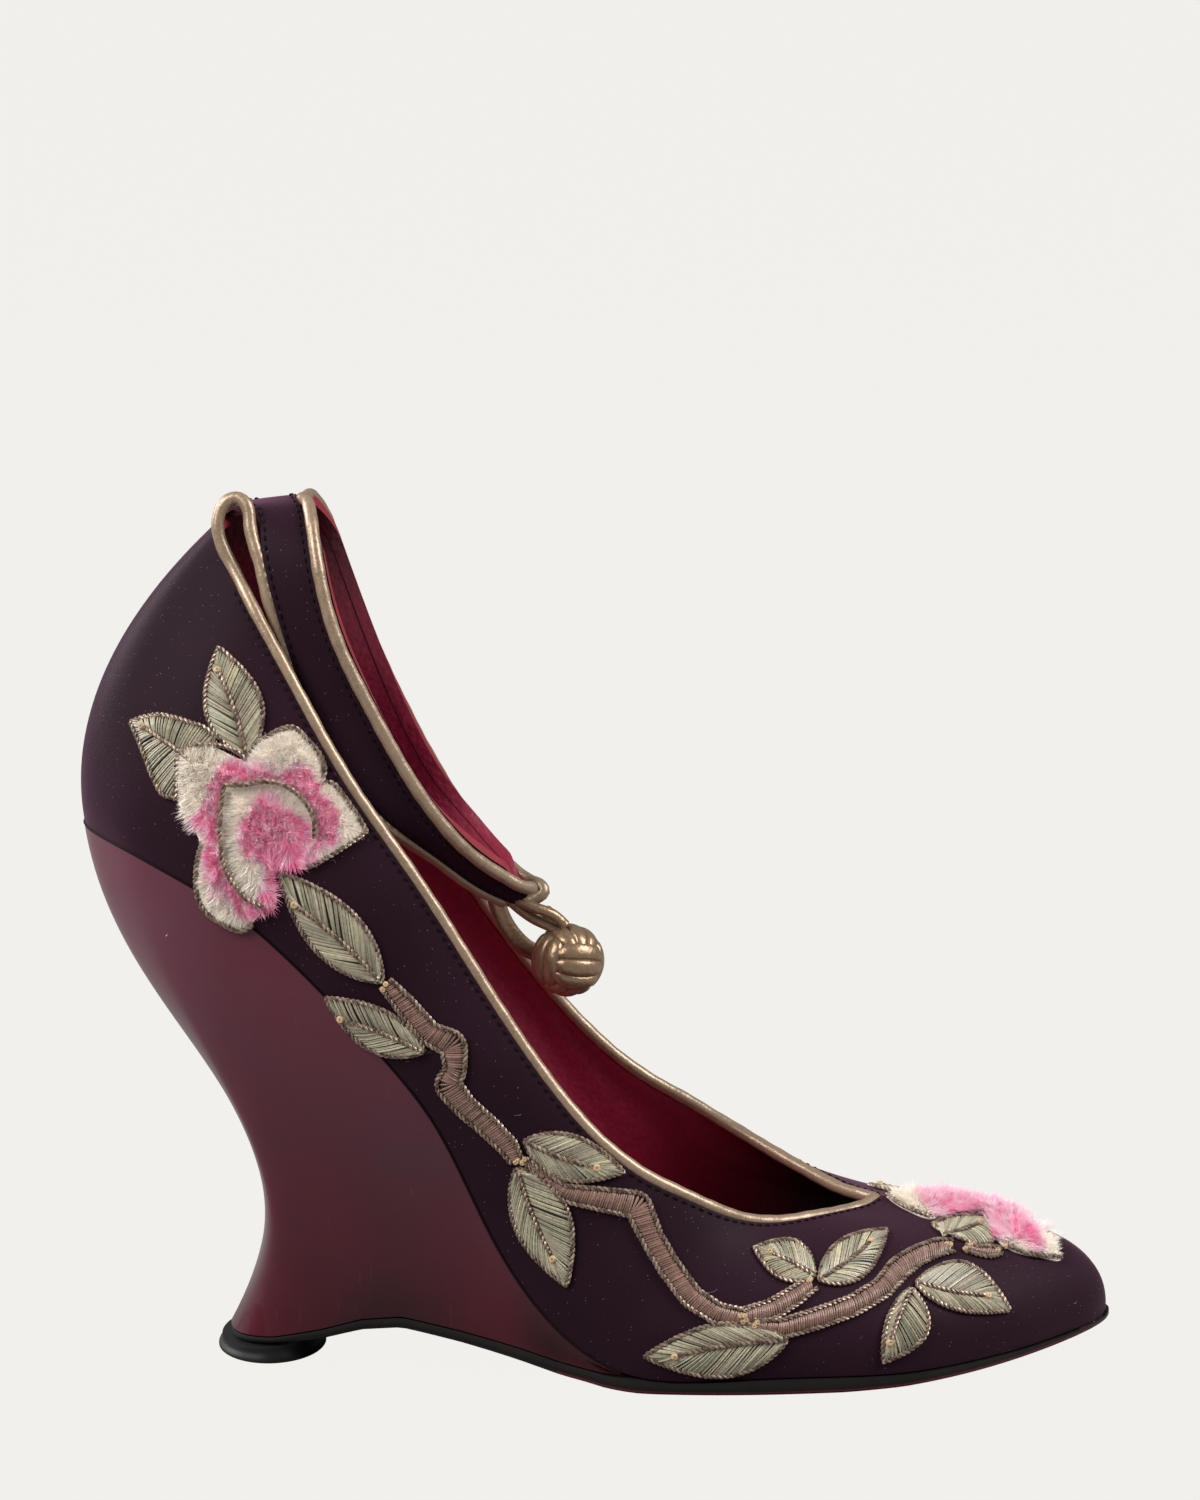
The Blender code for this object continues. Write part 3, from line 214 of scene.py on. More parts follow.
def sweep(paths, ups, radii, sides, flat=1.0):
    # many tubes of equal count: paths and ups are (tube, point, 3), radii (tube, point)
    paths = np.asarray(paths, float)
    tubes, count = paths.shape[:2]
    ahead = unit(np.gradient(paths, axis=1))
    side = unit(np.cross(ups, ahead))
    over = np.cross(ahead, side)
    turn = np.linspace(0.0, 2 * math.pi, sides, endpoint=False)[None, None, :, None]
    radii = np.broadcast_to(radii, (tubes, count))[:, :, None, None]
    offset = np.cos(turn) * side[:, :, None] + flat * np.sin(turn) * over[:, :, None]
    rings = paths[:, :, None] + radii * offset
    first = np.arange(tubes) * count * sides
    faceSets = [(faces[None] + first[:, None, None]).reshape(-1, faces.shape[1])
                for faces in loftFaces(count, sides)]
    return rings.reshape(-1, 3), faceSets


def tube(path, ups, radius, sides, flat=1.0):
    # one tube of even radius
    return sweep(path[None], ups[None], np.full((1, len(path)), radius), sides, flat)


def carriedUps(path, start=(0.0, 0.0, 1.0)):
    # a direction square to a path that turns with it as little as it can
    ahead = unit(np.gradient(path, axis=0))
    up = np.array(start, float)
    ups = []
    for way in ahead:
        up = unit(up - way * np.dot(up, way))
        ups.append(up)
    return np.array(ups)


# materials: effects that several of them share are node groups

def newGroup(name, inputs, outputs):
    group = bpy.data.node_groups.new(name, "ShaderNodeTree")
    for label, value in inputs.items():
        socket = group.interface.new_socket(label, in_out="INPUT", socket_type="NodeSocketFloat")
        socket.default_value = value
    for label, kind in outputs.items():
        group.interface.new_socket(label, in_out="OUTPUT", socket_type=kind)
    return group, group.nodes.new("NodeGroupInput"), group.nodes.new("NodeGroupOutput")


def feed(tree, socket, value):
    # a link, or a plain value
    if isinstance(value, bpy.types.NodeSocket):
        tree.links.new(value, socket)
    else:
        socket.default_value = value


def placeNode(tree, kind, settings=(), **links):
    # a node with its settings, then values or links for its named inputs
    node = tree.nodes.new(kind)
    for label, value in dict(settings).items():
        setattr(node, label, value)
    for label, value in links.items():
        feed(tree, node.inputs[int(label[1:]) if label[1:].isdigit() else label.replace("_", " ")], value)
    return node


def placeMath(tree, operation, first, second):
    return placeNode(tree, "ShaderNodeMath", {"operation": operation}, i0=first, i1=second).outputs[0]


def objectPlace(tree):
    return tree.nodes.new("ShaderNodeTexCoord").outputs["Object"]


def mixColours(tree, factor, first, second, mode="MIX"):
    node = placeNode(tree, "ShaderNodeMix", {"data_type": "RGBA", "blend_type": mode})
    for i, value in ((0, factor), (6, first), (7, second)):
        feed(tree, node.inputs[i], (*value, 1.0) if isinstance(value, tuple) else value)
    return node.outputs[2]


def makeGroups():
    # soft leather grain: small pebbles and finer pores
    group, given, out = newGroup("leatherGrain", {"Scale": 900.0, "Pores": 0.4},
                                 {"Height": "NodeSocketFloat", "Tone": "NodeSocketFloat"})
    place = objectPlace(group)
    pebbles = placeNode(group, "ShaderNodeTexVoronoi", {"feature": "SMOOTH_F1"}, Vector=place,
                        Scale=given.outputs["Scale"], Smoothness=0.6)
    pores = placeNode(group, "ShaderNodeTexNoise", (), Vector=place,
                      Scale=given.outputs["Scale"], Detail=4.0)
    mixed = placeNode(group, "ShaderNodeMix", (), i0=given.outputs["Pores"], i2=pebbles.outputs["Distance"],
                      i3=pores.outputs["Fac"])
    group.links.new(mixed.outputs[0], out.inputs["Height"])
    group.links.new(pores.outputs["Fac"], out.inputs["Tone"])

    # slow changes of tone over a piece
    group, given, out = newGroup("cloudTone", {"Scale": 30.0, "Low": 0.0, "High": 1.0},
                                 {"Value": "NodeSocketFloat"})
    place = objectPlace(group)
    cloud = placeNode(group, "ShaderNodeTexNoise", (), Vector=place,
                      Scale=given.outputs["Scale"], Detail=3.0)
    spread = placeNode(group, "ShaderNodeMapRange", (), i0=cloud.outputs["Fac"], i1=0.3, i2=0.7,
                       i3=given.outputs["Low"], i4=given.outputs["High"])
    group.links.new(spread.outputs[0], out.inputs["Value"])

    # lint: a few small pale specks
    group, given, out = newGroup("lintSpecks", {"Scale": 220.0, "Size": 0.05, "Share": 0.1},
                                 {"Mask": "NodeSocketFloat"})
    place = objectPlace(group)
    cells = placeNode(group, "ShaderNodeTexVoronoi", (), Vector=place, Scale=given.outputs["Scale"])
    near = placeMath(group, "LESS_THAN", cells.outputs["Distance"], given.outputs["Size"])
    chosen = placeNode(group, "ShaderNodeSeparateColor", (), Color=cells.outputs["Color"])
    few = placeMath(group, "LESS_THAN", chosen.outputs["Red"], given.outputs["Share"])
    group.links.new(placeMath(group, "MULTIPLY", near, few), out.inputs["Mask"])

    # threads: each one's own colour with a little unevenness along it
    group, given, out = newGroup("threadTone", {"Scale": 1500.0, "Uneven": 0.3},
                                 {"Colour": "NodeSocketColor", "Height": "NodeSocketFloat"})
    place = objectPlace(group)
    own = placeNode(group, "ShaderNodeAttribute", {"attribute_name": "tint"})
    fleck = placeNode(group, "ShaderNodeTexNoise", (), Vector=place,
                      Scale=given.outputs["Scale"], Detail=2.0)
    spread = placeNode(group, "ShaderNodeMapRange", (), i0=fleck.outputs["Fac"], i1=0.3, i2=0.7)
    amount = placeMath(group, "MULTIPLY", spread.outputs[0], given.outputs["Uneven"])
    dark = mixColours(group, amount, own.outputs["Color"], (0.0, 0.0, 0.0))
    group.links.new(dark, out.inputs["Colour"])
    group.links.new(fleck.outputs["Fac"], out.inputs["Height"])


def placeGroup(tree, name, **values):
    return placeNode(tree, "ShaderNodeGroup", {"node_tree": bpy.data.node_groups[name]}, **values)


def newMaterial(name, colour, roughness, **sockets):
    material = bpy.data.materials.new(name)
    material.use_nodes = True
    shader = material.node_tree.nodes["Principled BSDF"]
    shader.inputs["Base Color"].default_value = (*colour, 1.0)
    shader.inputs["Roughness"].default_value = roughness
    for label, value in sockets.items():
        shader.inputs[label.replace("_", " ")].default_value = value
    return material, material.node_tree, shader


def bumpFrom(tree, shader, height, strength, distance):
    bump = placeNode(tree, "ShaderNodeBump", (), Strength=strength, Distance=distance * mm, Height=height)
    tree.links.new(bump.outputs["Normal"], shader.inputs["Normal"])


def paint(tree, shader, colour):
    tree.links.new(colour, shader.inputs["Base Color"])


def shareAlong(tree, axis, start, end):
    # 0 to 1 between two places on an axis, in metres
    place = placeNode(tree, "ShaderNodeSeparateXYZ", (), Vector=objectPlace(tree))
    return placeNode(tree, "ShaderNodeMapRange", (), i0=place.outputs[axis], i1=start, i2=end).outputs[0]


satinLook = {"dark": tone(28, 14, 21), "light": tone(38, 21, 31), "lint": tone(98, 87, 99),
             "sheen": tone(182, 130, 162), "threadPitch": 0.42, "slubShare": 0.22, "roughness": 0.5}


def makeSatin():
    material, tree, shader = newMaterial("satin", satinLook["dark"], satinLook["roughness"],
                                         Sheen_Weight=0.4, Sheen_Roughness=0.42, Specular_IOR_Level=0.04)
    shader.inputs["Sheen Tint"].default_value = (*satinLook["sheen"], 1.0)
    cloud = placeGroup(tree, "cloudTone", Scale=26.0)
    lint = placeGroup(tree, "lintSpecks", Scale=900.0, Size=0.09, Share=0.5)
    cloth = placeNode(tree, "ShaderNodeAttribute", {"attribute_name": "span"})
    wave = 2 * math.pi / (20 * satinLook["threadPitch"])
    weft = placeNode(tree, "ShaderNodeTexWave", {"bands_direction": "Y"}, Vector=cloth.outputs["Vector"],
                     Scale=wave, Distortion=1.2, Detail=2.0)
    slub = placeNode(tree, "ShaderNodeTexNoise", (), Vector=cloth.outputs["Vector"], Scale=1.6, Detail=4.0)
    ground = mixColours(tree, cloud.outputs["Value"], satinLook["dark"], satinLook["light"])
    woven = mixColours(tree, satinLook["slubShare"], ground, slub.outputs["Fac"], "OVERLAY")
    paint(tree, shader, mixColours(tree, lint.outputs["Mask"], woven, satinLook["lint"]))
    bumpFrom(tree, shader, weft.outputs["Fac"], strength=0.22, distance=0.05)
    return material


# top and foot: a painted reflection, paler mauve higher up the wedge, and painted shade, darker at its foot
lacquerLook = {"top": tone(92, 56, 70), "foot": tone(30, 3, 9), "scratch": tone(104, 66, 74),
               "flush": tone(94, 20, 37), "rise": (0.008, 0.085), "rubs": (900.0, 900.0, 60.0)}


def makeLacquer():
    material, tree, shader = newMaterial("lacquer", lacquerLook["top"], roughness=0.34, Coat_Weight=0.4,
                                         Coat_Roughness=0.06, Specular_IOR_Level=0.12)
    place = objectPlace(tree)
    share = shareAlong(tree, "Z", *lacquerLook["rise"])
    cloud = placeGroup(tree, "cloudTone", Scale=18.0, Low=0.25, High=0.42)
    lint = placeGroup(tree, "lintSpecks", Scale=180.0, Size=0.03, Share=0.08)
    # painted reflection and shade: the colour passes from the dark foot up to the pale top
    ground = mixColours(tree, share, lacquerLook["foot"], lacquerLook["top"])
    mottle = placeGroup(tree, "cloudTone", Scale=30.0, Low=0.0, High=0.6)
    ground = mixColours(tree, mottle.outputs["Value"], ground, lacquerLook["flush"])
    stretch = placeNode(tree, "ShaderNodeMapping", (), Vector=place)
    stretch.inputs["Scale"].default_value = lacquerLook["rubs"]
    rub = placeNode(tree, "ShaderNodeTexNoise", (), Vector=stretch.outputs["Vector"], Scale=1.0, Detail=2.0)
    thin = placeNode(tree, "ShaderNodeMapRange", (), i0=rub.outputs["Fac"], i1=0.7, i2=0.8, i3=0.0, i4=0.35)
    worn = mixColours(tree, thin.outputs[0], ground, lacquerLook["scratch"])
    paint(tree, shader, mixColours(tree, lint.outputs["Mask"], worn, lacquerLook["scratch"]))
    tree.links.new(cloud.outputs["Value"], shader.inputs["Roughness"])
    return material


def makeLeather(name, colour, deep, roughness, scale, bump, paintedShades=(), **sockets):
    # grained leather, deeper in its pores; each painted shade is an axis, a start, an end and a colour,
    # darkening the leather along that axis
    material, tree, shader = newMaterial(name, colour, roughness, **sockets)
    grain = placeGroup(tree, "leatherGrain", Scale=scale, Pores=0.45)
    cloud = placeGroup(tree, "cloudTone", Scale=45.0, Low=0.0, High=0.5)
    shaded = mixColours(tree, grain.outputs["Tone"], deep, colour)
    ground = mixColours(tree, cloud.outputs["Value"], shaded, colour)
    for axis, start, end, dark in paintedShades:
        # painted shade: darker from the start to the end of each axis
        ground = mixColours(tree, shareAlong(tree, axis, start, end), ground, dark)
    paint(tree, shader, ground)
    bumpFrom(tree, shader, grain.outputs["Height"], strength=0.5, distance=bump)
    return material


def makeEdge(name, colour, worn, roughness, dust=tone(110, 105, 100)):
    # painted edge or rubber: plain, a little dusty, rubbed paler in places
    material, tree, shader = newMaterial(name, colour, roughness, Specular_IOR_Level=0.25)
    cloud = placeGroup(tree, "cloudTone", Scale=120.0, Low=0.0, High=0.6)
    lint = placeGroup(tree, "lintSpecks", Scale=300.0, Size=0.06, Share=0.1)
    rubbed = mixColours(tree, cloud.outputs["Value"], colour, worn)
    paint(tree, shader, mixColours(tree, lint.outputs["Mask"], rubbed, dust))
    grain = placeGroup(tree, "leatherGrain", Scale=1400.0, Pores=0.8)
    bumpFrom(tree, shader, grain.outputs["Height"], strength=0.25, distance=0.06)
    return material


def makeThread(name, roughness, uneven, scale, bump, **sockets):
    material, tree, shader = newMaterial(name, (0.5, 0.5, 0.5), roughness, **sockets)
    thread = placeGroup(tree, "threadTone", Scale=scale, Uneven=uneven)
    paint(tree, shader, thread.outputs["Colour"])
    if bump:
        bumpFrom(tree, shader, thread.outputs["Height"], strength=0.3, distance=bump)
    return material


makeGroups()
satin = makeSatin()
lacquer = makeLacquer()
# painted shade on the lining: darker towards the throat, along x, and higher up, along z, on the strap and
# collar
lining = makeLeather("lining", tone(164, 38, 70), deep=tone(96, 14, 38), roughness=0.4, scale=820.0,
                     bump=0.34, Specular_IOR_Level=0.45,
                     paintedShades=(("X", 0.008, 0.042, tone(46, 6, 16)), ("Z", 0.12, 0.172, tone(50, 8, 17))))
redEdge = makeLeather("redEdge", tone(150, 36, 50), deep=tone(104, 20, 34), roughness=0.42, scale=900.0,
                      bump=0.08)
gold = makeLeather("gold", tone(174, 151, 127), deep=tone(108, 88, 70), roughness=0.36, scale=1500.0,
                   bump=0.12, Metallic=0.4)
oldGold = makeLeather("oldGold", tone(170, 142, 114), deep=tone(80, 61, 46), roughness=0.34, scale=1300.0,
                      bump=0.2, Metallic=0.6)
soleEdge = makeEdge("soleEdge", tone(17, 16, 16), worn=tone(30, 28, 27), roughness=0.42)
soleUnder = makeEdge("soleUnder", tone(104, 24, 44), worn=tone(122, 46, 62), roughness=0.5)
rubber = makeEdge("rubber", tone(15, 15, 16), worn=tone(25, 24, 24), roughness=0.5)
silk = makeThread("silkThread", roughness=0.42, uneven=0.28, scale=1300.0, bump=0.04, Sheen_Weight=0.15)
metalCord = makeThread("metalCord", roughness=0.36, uneven=0.45, scale=2600.0, bump=0.06, Metallic=0.45)
darkThread = makeThread("darkThread", roughness=0.7, uneven=0.2, scale=1300.0, bump=0.03,
                        Specular_IOR_Level=0.1)
plush = makeThread("plush", roughness=0.8, uneven=0.04, scale=900.0, bump=0.0, Sheen_Weight=1.0)
print("materials ready")


# the upper: sections from the back of the heel to the tip of the toe, in millimetres
upperSpec = {
    "columns": ("footX", "footZ", "footLat", "footMed", "topX", "topZ", "topLat", "topMed", "rise",
                "lowX", "lowOut", "lowZ", "highX", "highOut", "highZ"),
    "rows": (
        (-103.4, 108.0, 0.0, 0.0, -74.6, 169.4, 0.0, 0.0, 0.0, -4.0, 0.0, 24.0, -17.7, 0.0, -15.2),
        (-101.8, 107.5, -7.0, 7.0, -76.5, 167.3, -6.0, 6.0, 0.0, -3.6, 1.6, 22.0, -14.8, 2.4, -15.5),
        (-97.6, 106.5, -13.8, 13.6, -75.3, 163.2, -9.6, 9.6, 0.0, -2.5, 3.0, 19.0, -11.0, 4.0, -17.0),
        (-91.6, 104.7, -20.3, 20.0, -70.0, 154.0, -15.7, 15.5, 0.0, 0.0, 4.0, 16.0, -7.0, 5.0, -15.0),
        (-83.0, 100.9, -25.0, 24.4, -61.8, 140.0, -21.3, 20.8, 0.5, 4.0, 4.2, 13.0, -6.0, 5.0, -13.0),
        (-72.0, 94.5, -27.2, 26.0, -51.5, 122.0, -24.8, 24.0, 1.2, 6.0, 3.8, 9.5, -6.5, 4.5, -9.0),
        (-58.0, 82.0, -28.0, 26.0, -37.5, 101.6, -27.2, 26.2, 2.5, 6.5, 3.4, 7.0, -6.5, 4.0, -6.5),
        (-45.0, 67.9, -28.0, 25.0, -26.0, 83.6, -28.5, 27.0, 4.0, 6.3, 3.2, 5.8, -6.3, 3.8, -5.2),
        (-34.0, 54.0, -28.0, 24.0, -15.0, 66.8, -30.0, 28.0, 5.5, 6.0, 3.0, 5.2, -6.0, 4.0, -4.0),
        (-25.5, 37.5, -28.4, 24.0, -2.0, 50.5, -31.5, 29.5, 6.5, 6.5, 3.0, 6.5, -7.0, 4.2, -4.0),
        (-16.2, 20.7, -31.0, 25.5, 9.0, 41.7, -31.6, 30.4, 6.2, 6.5, 3.2, 9.0, -8.0, 5.0, -5.0),
        (-5.0, 9.0, -35.2, 28.5, 17.0, 37.4, -30.2, 30.2, 6.0, 4.5, 3.4, 12.0, -6.0, 6.5, -7.0),
        (8.0, 3.3, -38.0, 32.5, 24.0, 33.7, -27.4, 29.0, 6.0, 2.5, 3.5, 13.5, -3.0, 8.5, -8.0),
        (26.0, 3.2, -39.0, 36.5, 31.0, 31.0, -23.2, 26.3, 5.5, 1.0, 3.2, 14.0, 0.0, 11.5, -7.5),
        (44.0, 3.4, -37.5, 37.5, 37.3, 30.0, -18.5, 22.0, 4.0, 0.0, 3.0, 14.5, 4.0, 13.5, -6.5),
        (60.0, 3.3, -34.2, 35.5, 43.0, 29.8, -13.8, 17.5, 2.2, 0.5, 2.4, 15.0, 9.0, 14.0, -5.5),
        (74.0, 3.8, -27.3, 31.5, 47.5, 29.6, -9.5, 13.4, 1.0, 0.8, 2.0, 15.5, 14.0, 12.0, -4.5),
        (86.0, 4.3, -18.2, 25.5, 51.0, 29.4, -5.9, 9.8, 0.5, 0.8, 1.4, 15.8, 18.5, 9.0, -4.0),
        (96.0, 4.7, -7.6, 18.6, 54.3, 29.5, -2.6, 6.5, 0.2, 0.8, 0.8, 16.0, 22.0, 5.0, -3.7),
        (101.5, 5.0, 0.0, 12.8, 56.0, 29.8, 0.0, 4.0, 0.0, 0.6, 0.4, 16.2, 23.8, 2.5, -3.5),
        (103.4, 5.5, 6.5, 6.5, 56.9, 30.0, 2.0, 2.0, 0.0, 0.5, 0.0, 16.3, 24.3, 0.0, -3.5),
    ),
    "wall": 1.8, "gap": 0.3, "aroundSteps": 190, "upSteps": 44, "liningSteps": 30,
    # soft folds of the lining: row and height where each starts and ends, depth and half width
    "folds": ((8.0, 0.92, 13.0, 0.55, 0.55, 0.10), (5.0, 0.70, 9.0, 0.30, 0.40, 0.12),
              (10.5, 0.85, 15.5, 0.62, 0.45, 0.08), (3.5, 0.80, 6.5, 0.62, 0.35, 0.09)),
    # where a fold fades out along its length, and where the lining lies flat at its two edges
    "foldFade": (-0.3, 0.2, 0.8, 1.3), "foldUps": (0.0, 0.12, 0.88, 1.0),
    # steps over which slopes are measured
    "aroundProbe": 0.4, "upProbe": 0.02, "rowProbe": 0.05,
}
toeRow = len(upperSpec["rows"]) - 1


def upperSections():
    table = np.array(upperSpec["rows"])
    part = {name: table[:, i] for i, name in enumerate(upperSpec["columns"])}

    def side(yName, outward, rise):
        foot = np.stack([part["footX"], part["foot" + yName], part["footZ"]], 1)
        top = np.stack([part["topX"], part["top" + yName], part["topZ"] + rise * part["rise"]], 1)
        low = np.stack([part["lowX"], outward * part["lowOut"], part["lowZ"]], 1)
        high = np.stack([part["highX"], outward * part["highOut"], part["highZ"]], 1)
        return np.hstack([foot, foot + low, top + high, top])

    ring = np.vstack([side("Lat", -1, 0), side("Med", 1, 1)[-2:0:-1]])
    around = np.vstack([ring, ring[:1]])
    knots = runLength((around[:, 0:3] + around[:, 9:12]) / 2)
    return spline(knots, ring, closed=True), knots


section, ringKnots = upperSections()
ringLength = ringKnots[-1]


def placeOn(side, row):
    return outerAt(row) if side == "Lat" else innerAt(row)


def outerAt(row):
    return np.interp(row, np.arange(toeRow + 1), ringKnots[:toeRow + 1])


def innerAt(row):
    return np.interp(row, np.arange(toeRow + 1), ringKnots[toeRow:][::-1] - ringLength)


def curveOf(first, second, third, last, t):
    rest = 1 - t
    return rest ** 3 * first + 3 * t * rest ** 2 * second + 3 * t * t * rest * third + t ** 3 * last


def upperPoint(around, up):
    around, up = np.broadcast_arrays(np.asarray(around, float), np.asarray(up, float))
    control = section(around.ravel()).reshape(around.shape + (4, 3))
    return curveOf(*np.moveaxis(control, -2, 0), up[..., None])


def upperNormal(around, up):
    up = np.asarray(up, float)
    step, rise = upperSpec["aroundProbe"], upperSpec["upProbe"]
    along = upperPoint(around + step, up) - upperPoint(around - step, up)
    rising = upperPoint(around, np.minimum(up + rise, 1.0)) - upperPoint(around, np.maximum(up - rise, 0.0))
    return unit(np.cross(along, rising))


def liningFolds(around, up):
    # depth by which the lining stands off in its folds, alike on both sides
    depth = np.zeros(np.broadcast(around, up).shape)
    fade = upperSpec["foldFade"]
    for rowA, upA, rowB, upB, deep, width in upperSpec["folds"]:
        for placeOf in (innerAt, outerAt):
            first, last = [float(np.mod(placeOf(row), ringLength)) for row in (rowA, rowB)]
            share = np.clip((around - first) / (last - first), fade[0], fade[-1])
            middle = upA + (upB - upA) * share
            depth += deep * between(share, fade) * np.exp(-((up - middle) / width) ** 2)
    return depth


def makeUpper():
    toe = ringKnots[toeRow]
    steps = upperSpec["aroundSteps"]
    around = np.concatenate([np.linspace(0.0, toe, steps, endpoint=False),
                             np.linspace(toe, ringLength, steps, endpoint=False)])[:, None]
    count = len(around)
    bundle = Bundle()
    spans = []
    high, low = upperSpec["upSteps"] + 1, upperSpec["liningSteps"] + 1
    for size, depth in ((high, 0.0), (low, upperSpec["wall"])):
        up = np.broadcast_to(np.linspace(0.0, 1.0, size)[None, :], (count, size))
        points = upperPoint(around, up)
        if depth:
            edge = between(up, upperSpec["foldUps"])
            points = points - upperNormal(around, up) * (depth + liningFolds(around, up) * edge)[..., None]
        rise = np.cumsum(np.linalg.norm(np.diff(points, axis=1, prepend=points[:, :1]), axis=2), axis=1)
        spans.append(np.stack([np.broadcast_to(around, up.shape), rise, 0 * rise], -1).reshape(-1, 3))
        faces = sheetFaces(count, size, closed=True)
        bundle.add(points, [faces if not depth else faces[:, ::-1]], kind=1 if depth else 0)
    i = np.arange(count)
    j = (i + 1) % count
    start = count * high
    rim = np.stack([i * high + high - 1, j * high + high - 1, start + j * low + low - 1,
                    start + i * low + low - 1], 1)
    foot = np.stack([j * high, i * high, start + i * low, start + j * low], 1)
    bundle.faces += [rim, foot]
    bundle.kinds += [np.full(count, 2), np.ones(count, int)]
    spans = np.vstack(spans)

    def span(corners):
        # one value a face corner, so that the cloth runs on across the back seam
        found = spans[corners].reshape(-1, 4, 3)
        wraps = np.ptp(found[:, :, 0], axis=1) > ringLength / 2
        found[wraps, :, 0] += np.where(found[wraps, :, 0] < ringLength / 2, ringLength, 0.0)
        return found.reshape(-1, 3)

    return bundle.make("upper", [satin, lining, redEdge], ["upper"], span=span)


makeUpper()
print("upper made")


# wedge, sole, top lift and insole
wedgeSpec = {
    "columns": ("baseX", "baseLat", "baseMed", "lowX", "lowOut", "lowZ", "highX", "highOut", "highZ"),
    "rows": (
        (-75.3, 0.0, 0.0, 6.4, 0.0, -46.0, 25.3, 0.0, 47.2),
        (-74.4, -6.4, 6.4, 6.2, -0.5, -45.0, 23.0, -0.6, 46.0),
        (-72.0, -11.2, 11.2, 6.0, -1.0, -43.0, 18.0, -1.2, 44.0),
        (-68.4, -14.4, 14.2, 5.0, -1.6, -40.0, 12.0, -1.8, 40.0),
        (-63.5, -16.2, 15.8, 4.0, -2.0, -36.0, 6.0, -2.2, 36.0),
        (-57.0, -17.2, 16.6, 3.0, -2.2, -32.0, 2.0, -2.0, 32.0),
        (-47.5, -18.6, 17.4, 2.0, -2.0, -26.0, 0.0, -1.5, 26.0),
        (-37.5, -20.5, 18.6, 1.5, -1.5, -20.0, 0.0, -1.0, 20.0),
        (-28.5, -23.2, 20.0, 1.0, -1.0, -15.0, 0.0, -0.6, 15.0),
        (-20.5, -26.0, 21.8, 1.0, -0.6, -9.5, 0.0, -0.3, 9.5),
        (-13.0, -29.4, 24.2, 0.7, -0.3, -4.5, 0.0, 0.0, 4.0),
        (-3.4, -33.8, 27.6, 0.3, -0.1, -1.5, 0.0, 0.0, 1.5),
        (8.0, -37.8, 32.3, 0.0, 0.0, -0.1, 0.0, 0.0, 0.1),
    ),
    "end": 11.72, "steps": 120, "levels": 56,
}
soleSpec = {
    "rows": (       # x, height of the underside, thickness
        (-78.0, 2.4, 1.4), (-66.0, 3.4, 1.6), (-56.0, 5.2, 1.9), (-48.0, 7.4, 2.1), (-40.0, 8.2, 2.2),
        (-28.0, 6.2, 2.3), (-16.0, 3.7, 2.5), (-8.0, 1.9, 2.6), (0.0, 0.6, 2.7), (8.0, 0.0, 2.9),
        (20.0, 0.0, 2.9), (48.0, 0.0, 3.0), (60.0, 0.4, 2.6), (74.0, 1.4, 2.1), (86.0, 2.4, 1.6),
        (96.0, 3.1, 1.3), (104.0, 3.9, 1.2),
    ),
    "proud": 0.6, "bevel": 0.8, "bevelShare": 0.2, "swell": 0.12, "steps": 170, "redFrom": 10.4,
    # rows at its ends, and where its edge and then its top pass from the wedge to the upper
    "ends": (0.08, 0.05), "joinRows": (11.0, 12.0), "topJoinRows": (11.6, 12.1), "probe": 0.5,
    "insoleHeel": (0.3, 0.7), "insoleRows": (1.2, 18.6), "insoleToe": (19.0, 19.3),
    "insoleThick": 1.8, "insoleTuck": 0.6, "insoleSteps": 90, "insoleAcross": 13, "insoleRound": 0.35,
}
liftSpec = {"centre": -66.9, "topRadii": (10.2, 16.2), "footRadii": (10.9, 16.7), "drawIn": (0.12, 0.75),
            "steps": 96, "levels": 12}
wedgeRow = spline(np.arange(len(wedgeSpec["rows"])), np.array(wedgeSpec["rows"]))


def bedSquare(row):
    table = np.array(upperSpec["rows"])
    profile = spline(np.arange(toeRow + 1), table[:, 0:2])
    step = upperSpec["rowProbe"]
    ahead = profile(np.asarray(row) + step) - profile(np.asarray(row) - step)
    return unit(np.stack([-ahead[:, 1], np.zeros(len(ahead)), ahead[:, 0]], 1))


def soleUnderAt(x):
    table = np.array(soleSpec["rows"])
    return np.interp(x, table[:, 0], table[:, 1])


def soleTopAt(x):
    table = np.array(soleSpec["rows"])
    return soleUnderAt(x) + np.interp(x, table[:, 0], table[:, 2])


def wedgeEdge(row, yName):
    values = wedgeRow(row)
    x = values[:, wedgeSpec["columns"].index("baseX")]
    y = values[:, wedgeSpec["columns"].index("base" + yName)]
    return np.stack([x, y, soleTopAt(x) + upperSpec["gap"]], 1)


def wedgeSide(rows, yName, outward):
    place = placeOn(yName, rows)
    values = wedgeRow(rows)
    part = {name: values[:, i] for i, name in enumerate(wedgeSpec["columns"])}
    top = upperPoint(place, 0.0) - bedSquare(rows) * upperSpec["gap"]
    base = wedgeEdge(rows, yName)
    low = top + np.stack([part["lowX"], outward * part["lowOut"], part["lowZ"]], 1)
    high = base + np.stack([part["highX"], outward * part["highOut"], part["highZ"]], 1)
    t = np.linspace(0.0, 1.0, wedgeSpec["levels"] + 1)[None, :, None]
    return curveOf(top[:, None], low[:, None], high[:, None], base[:, None], t)


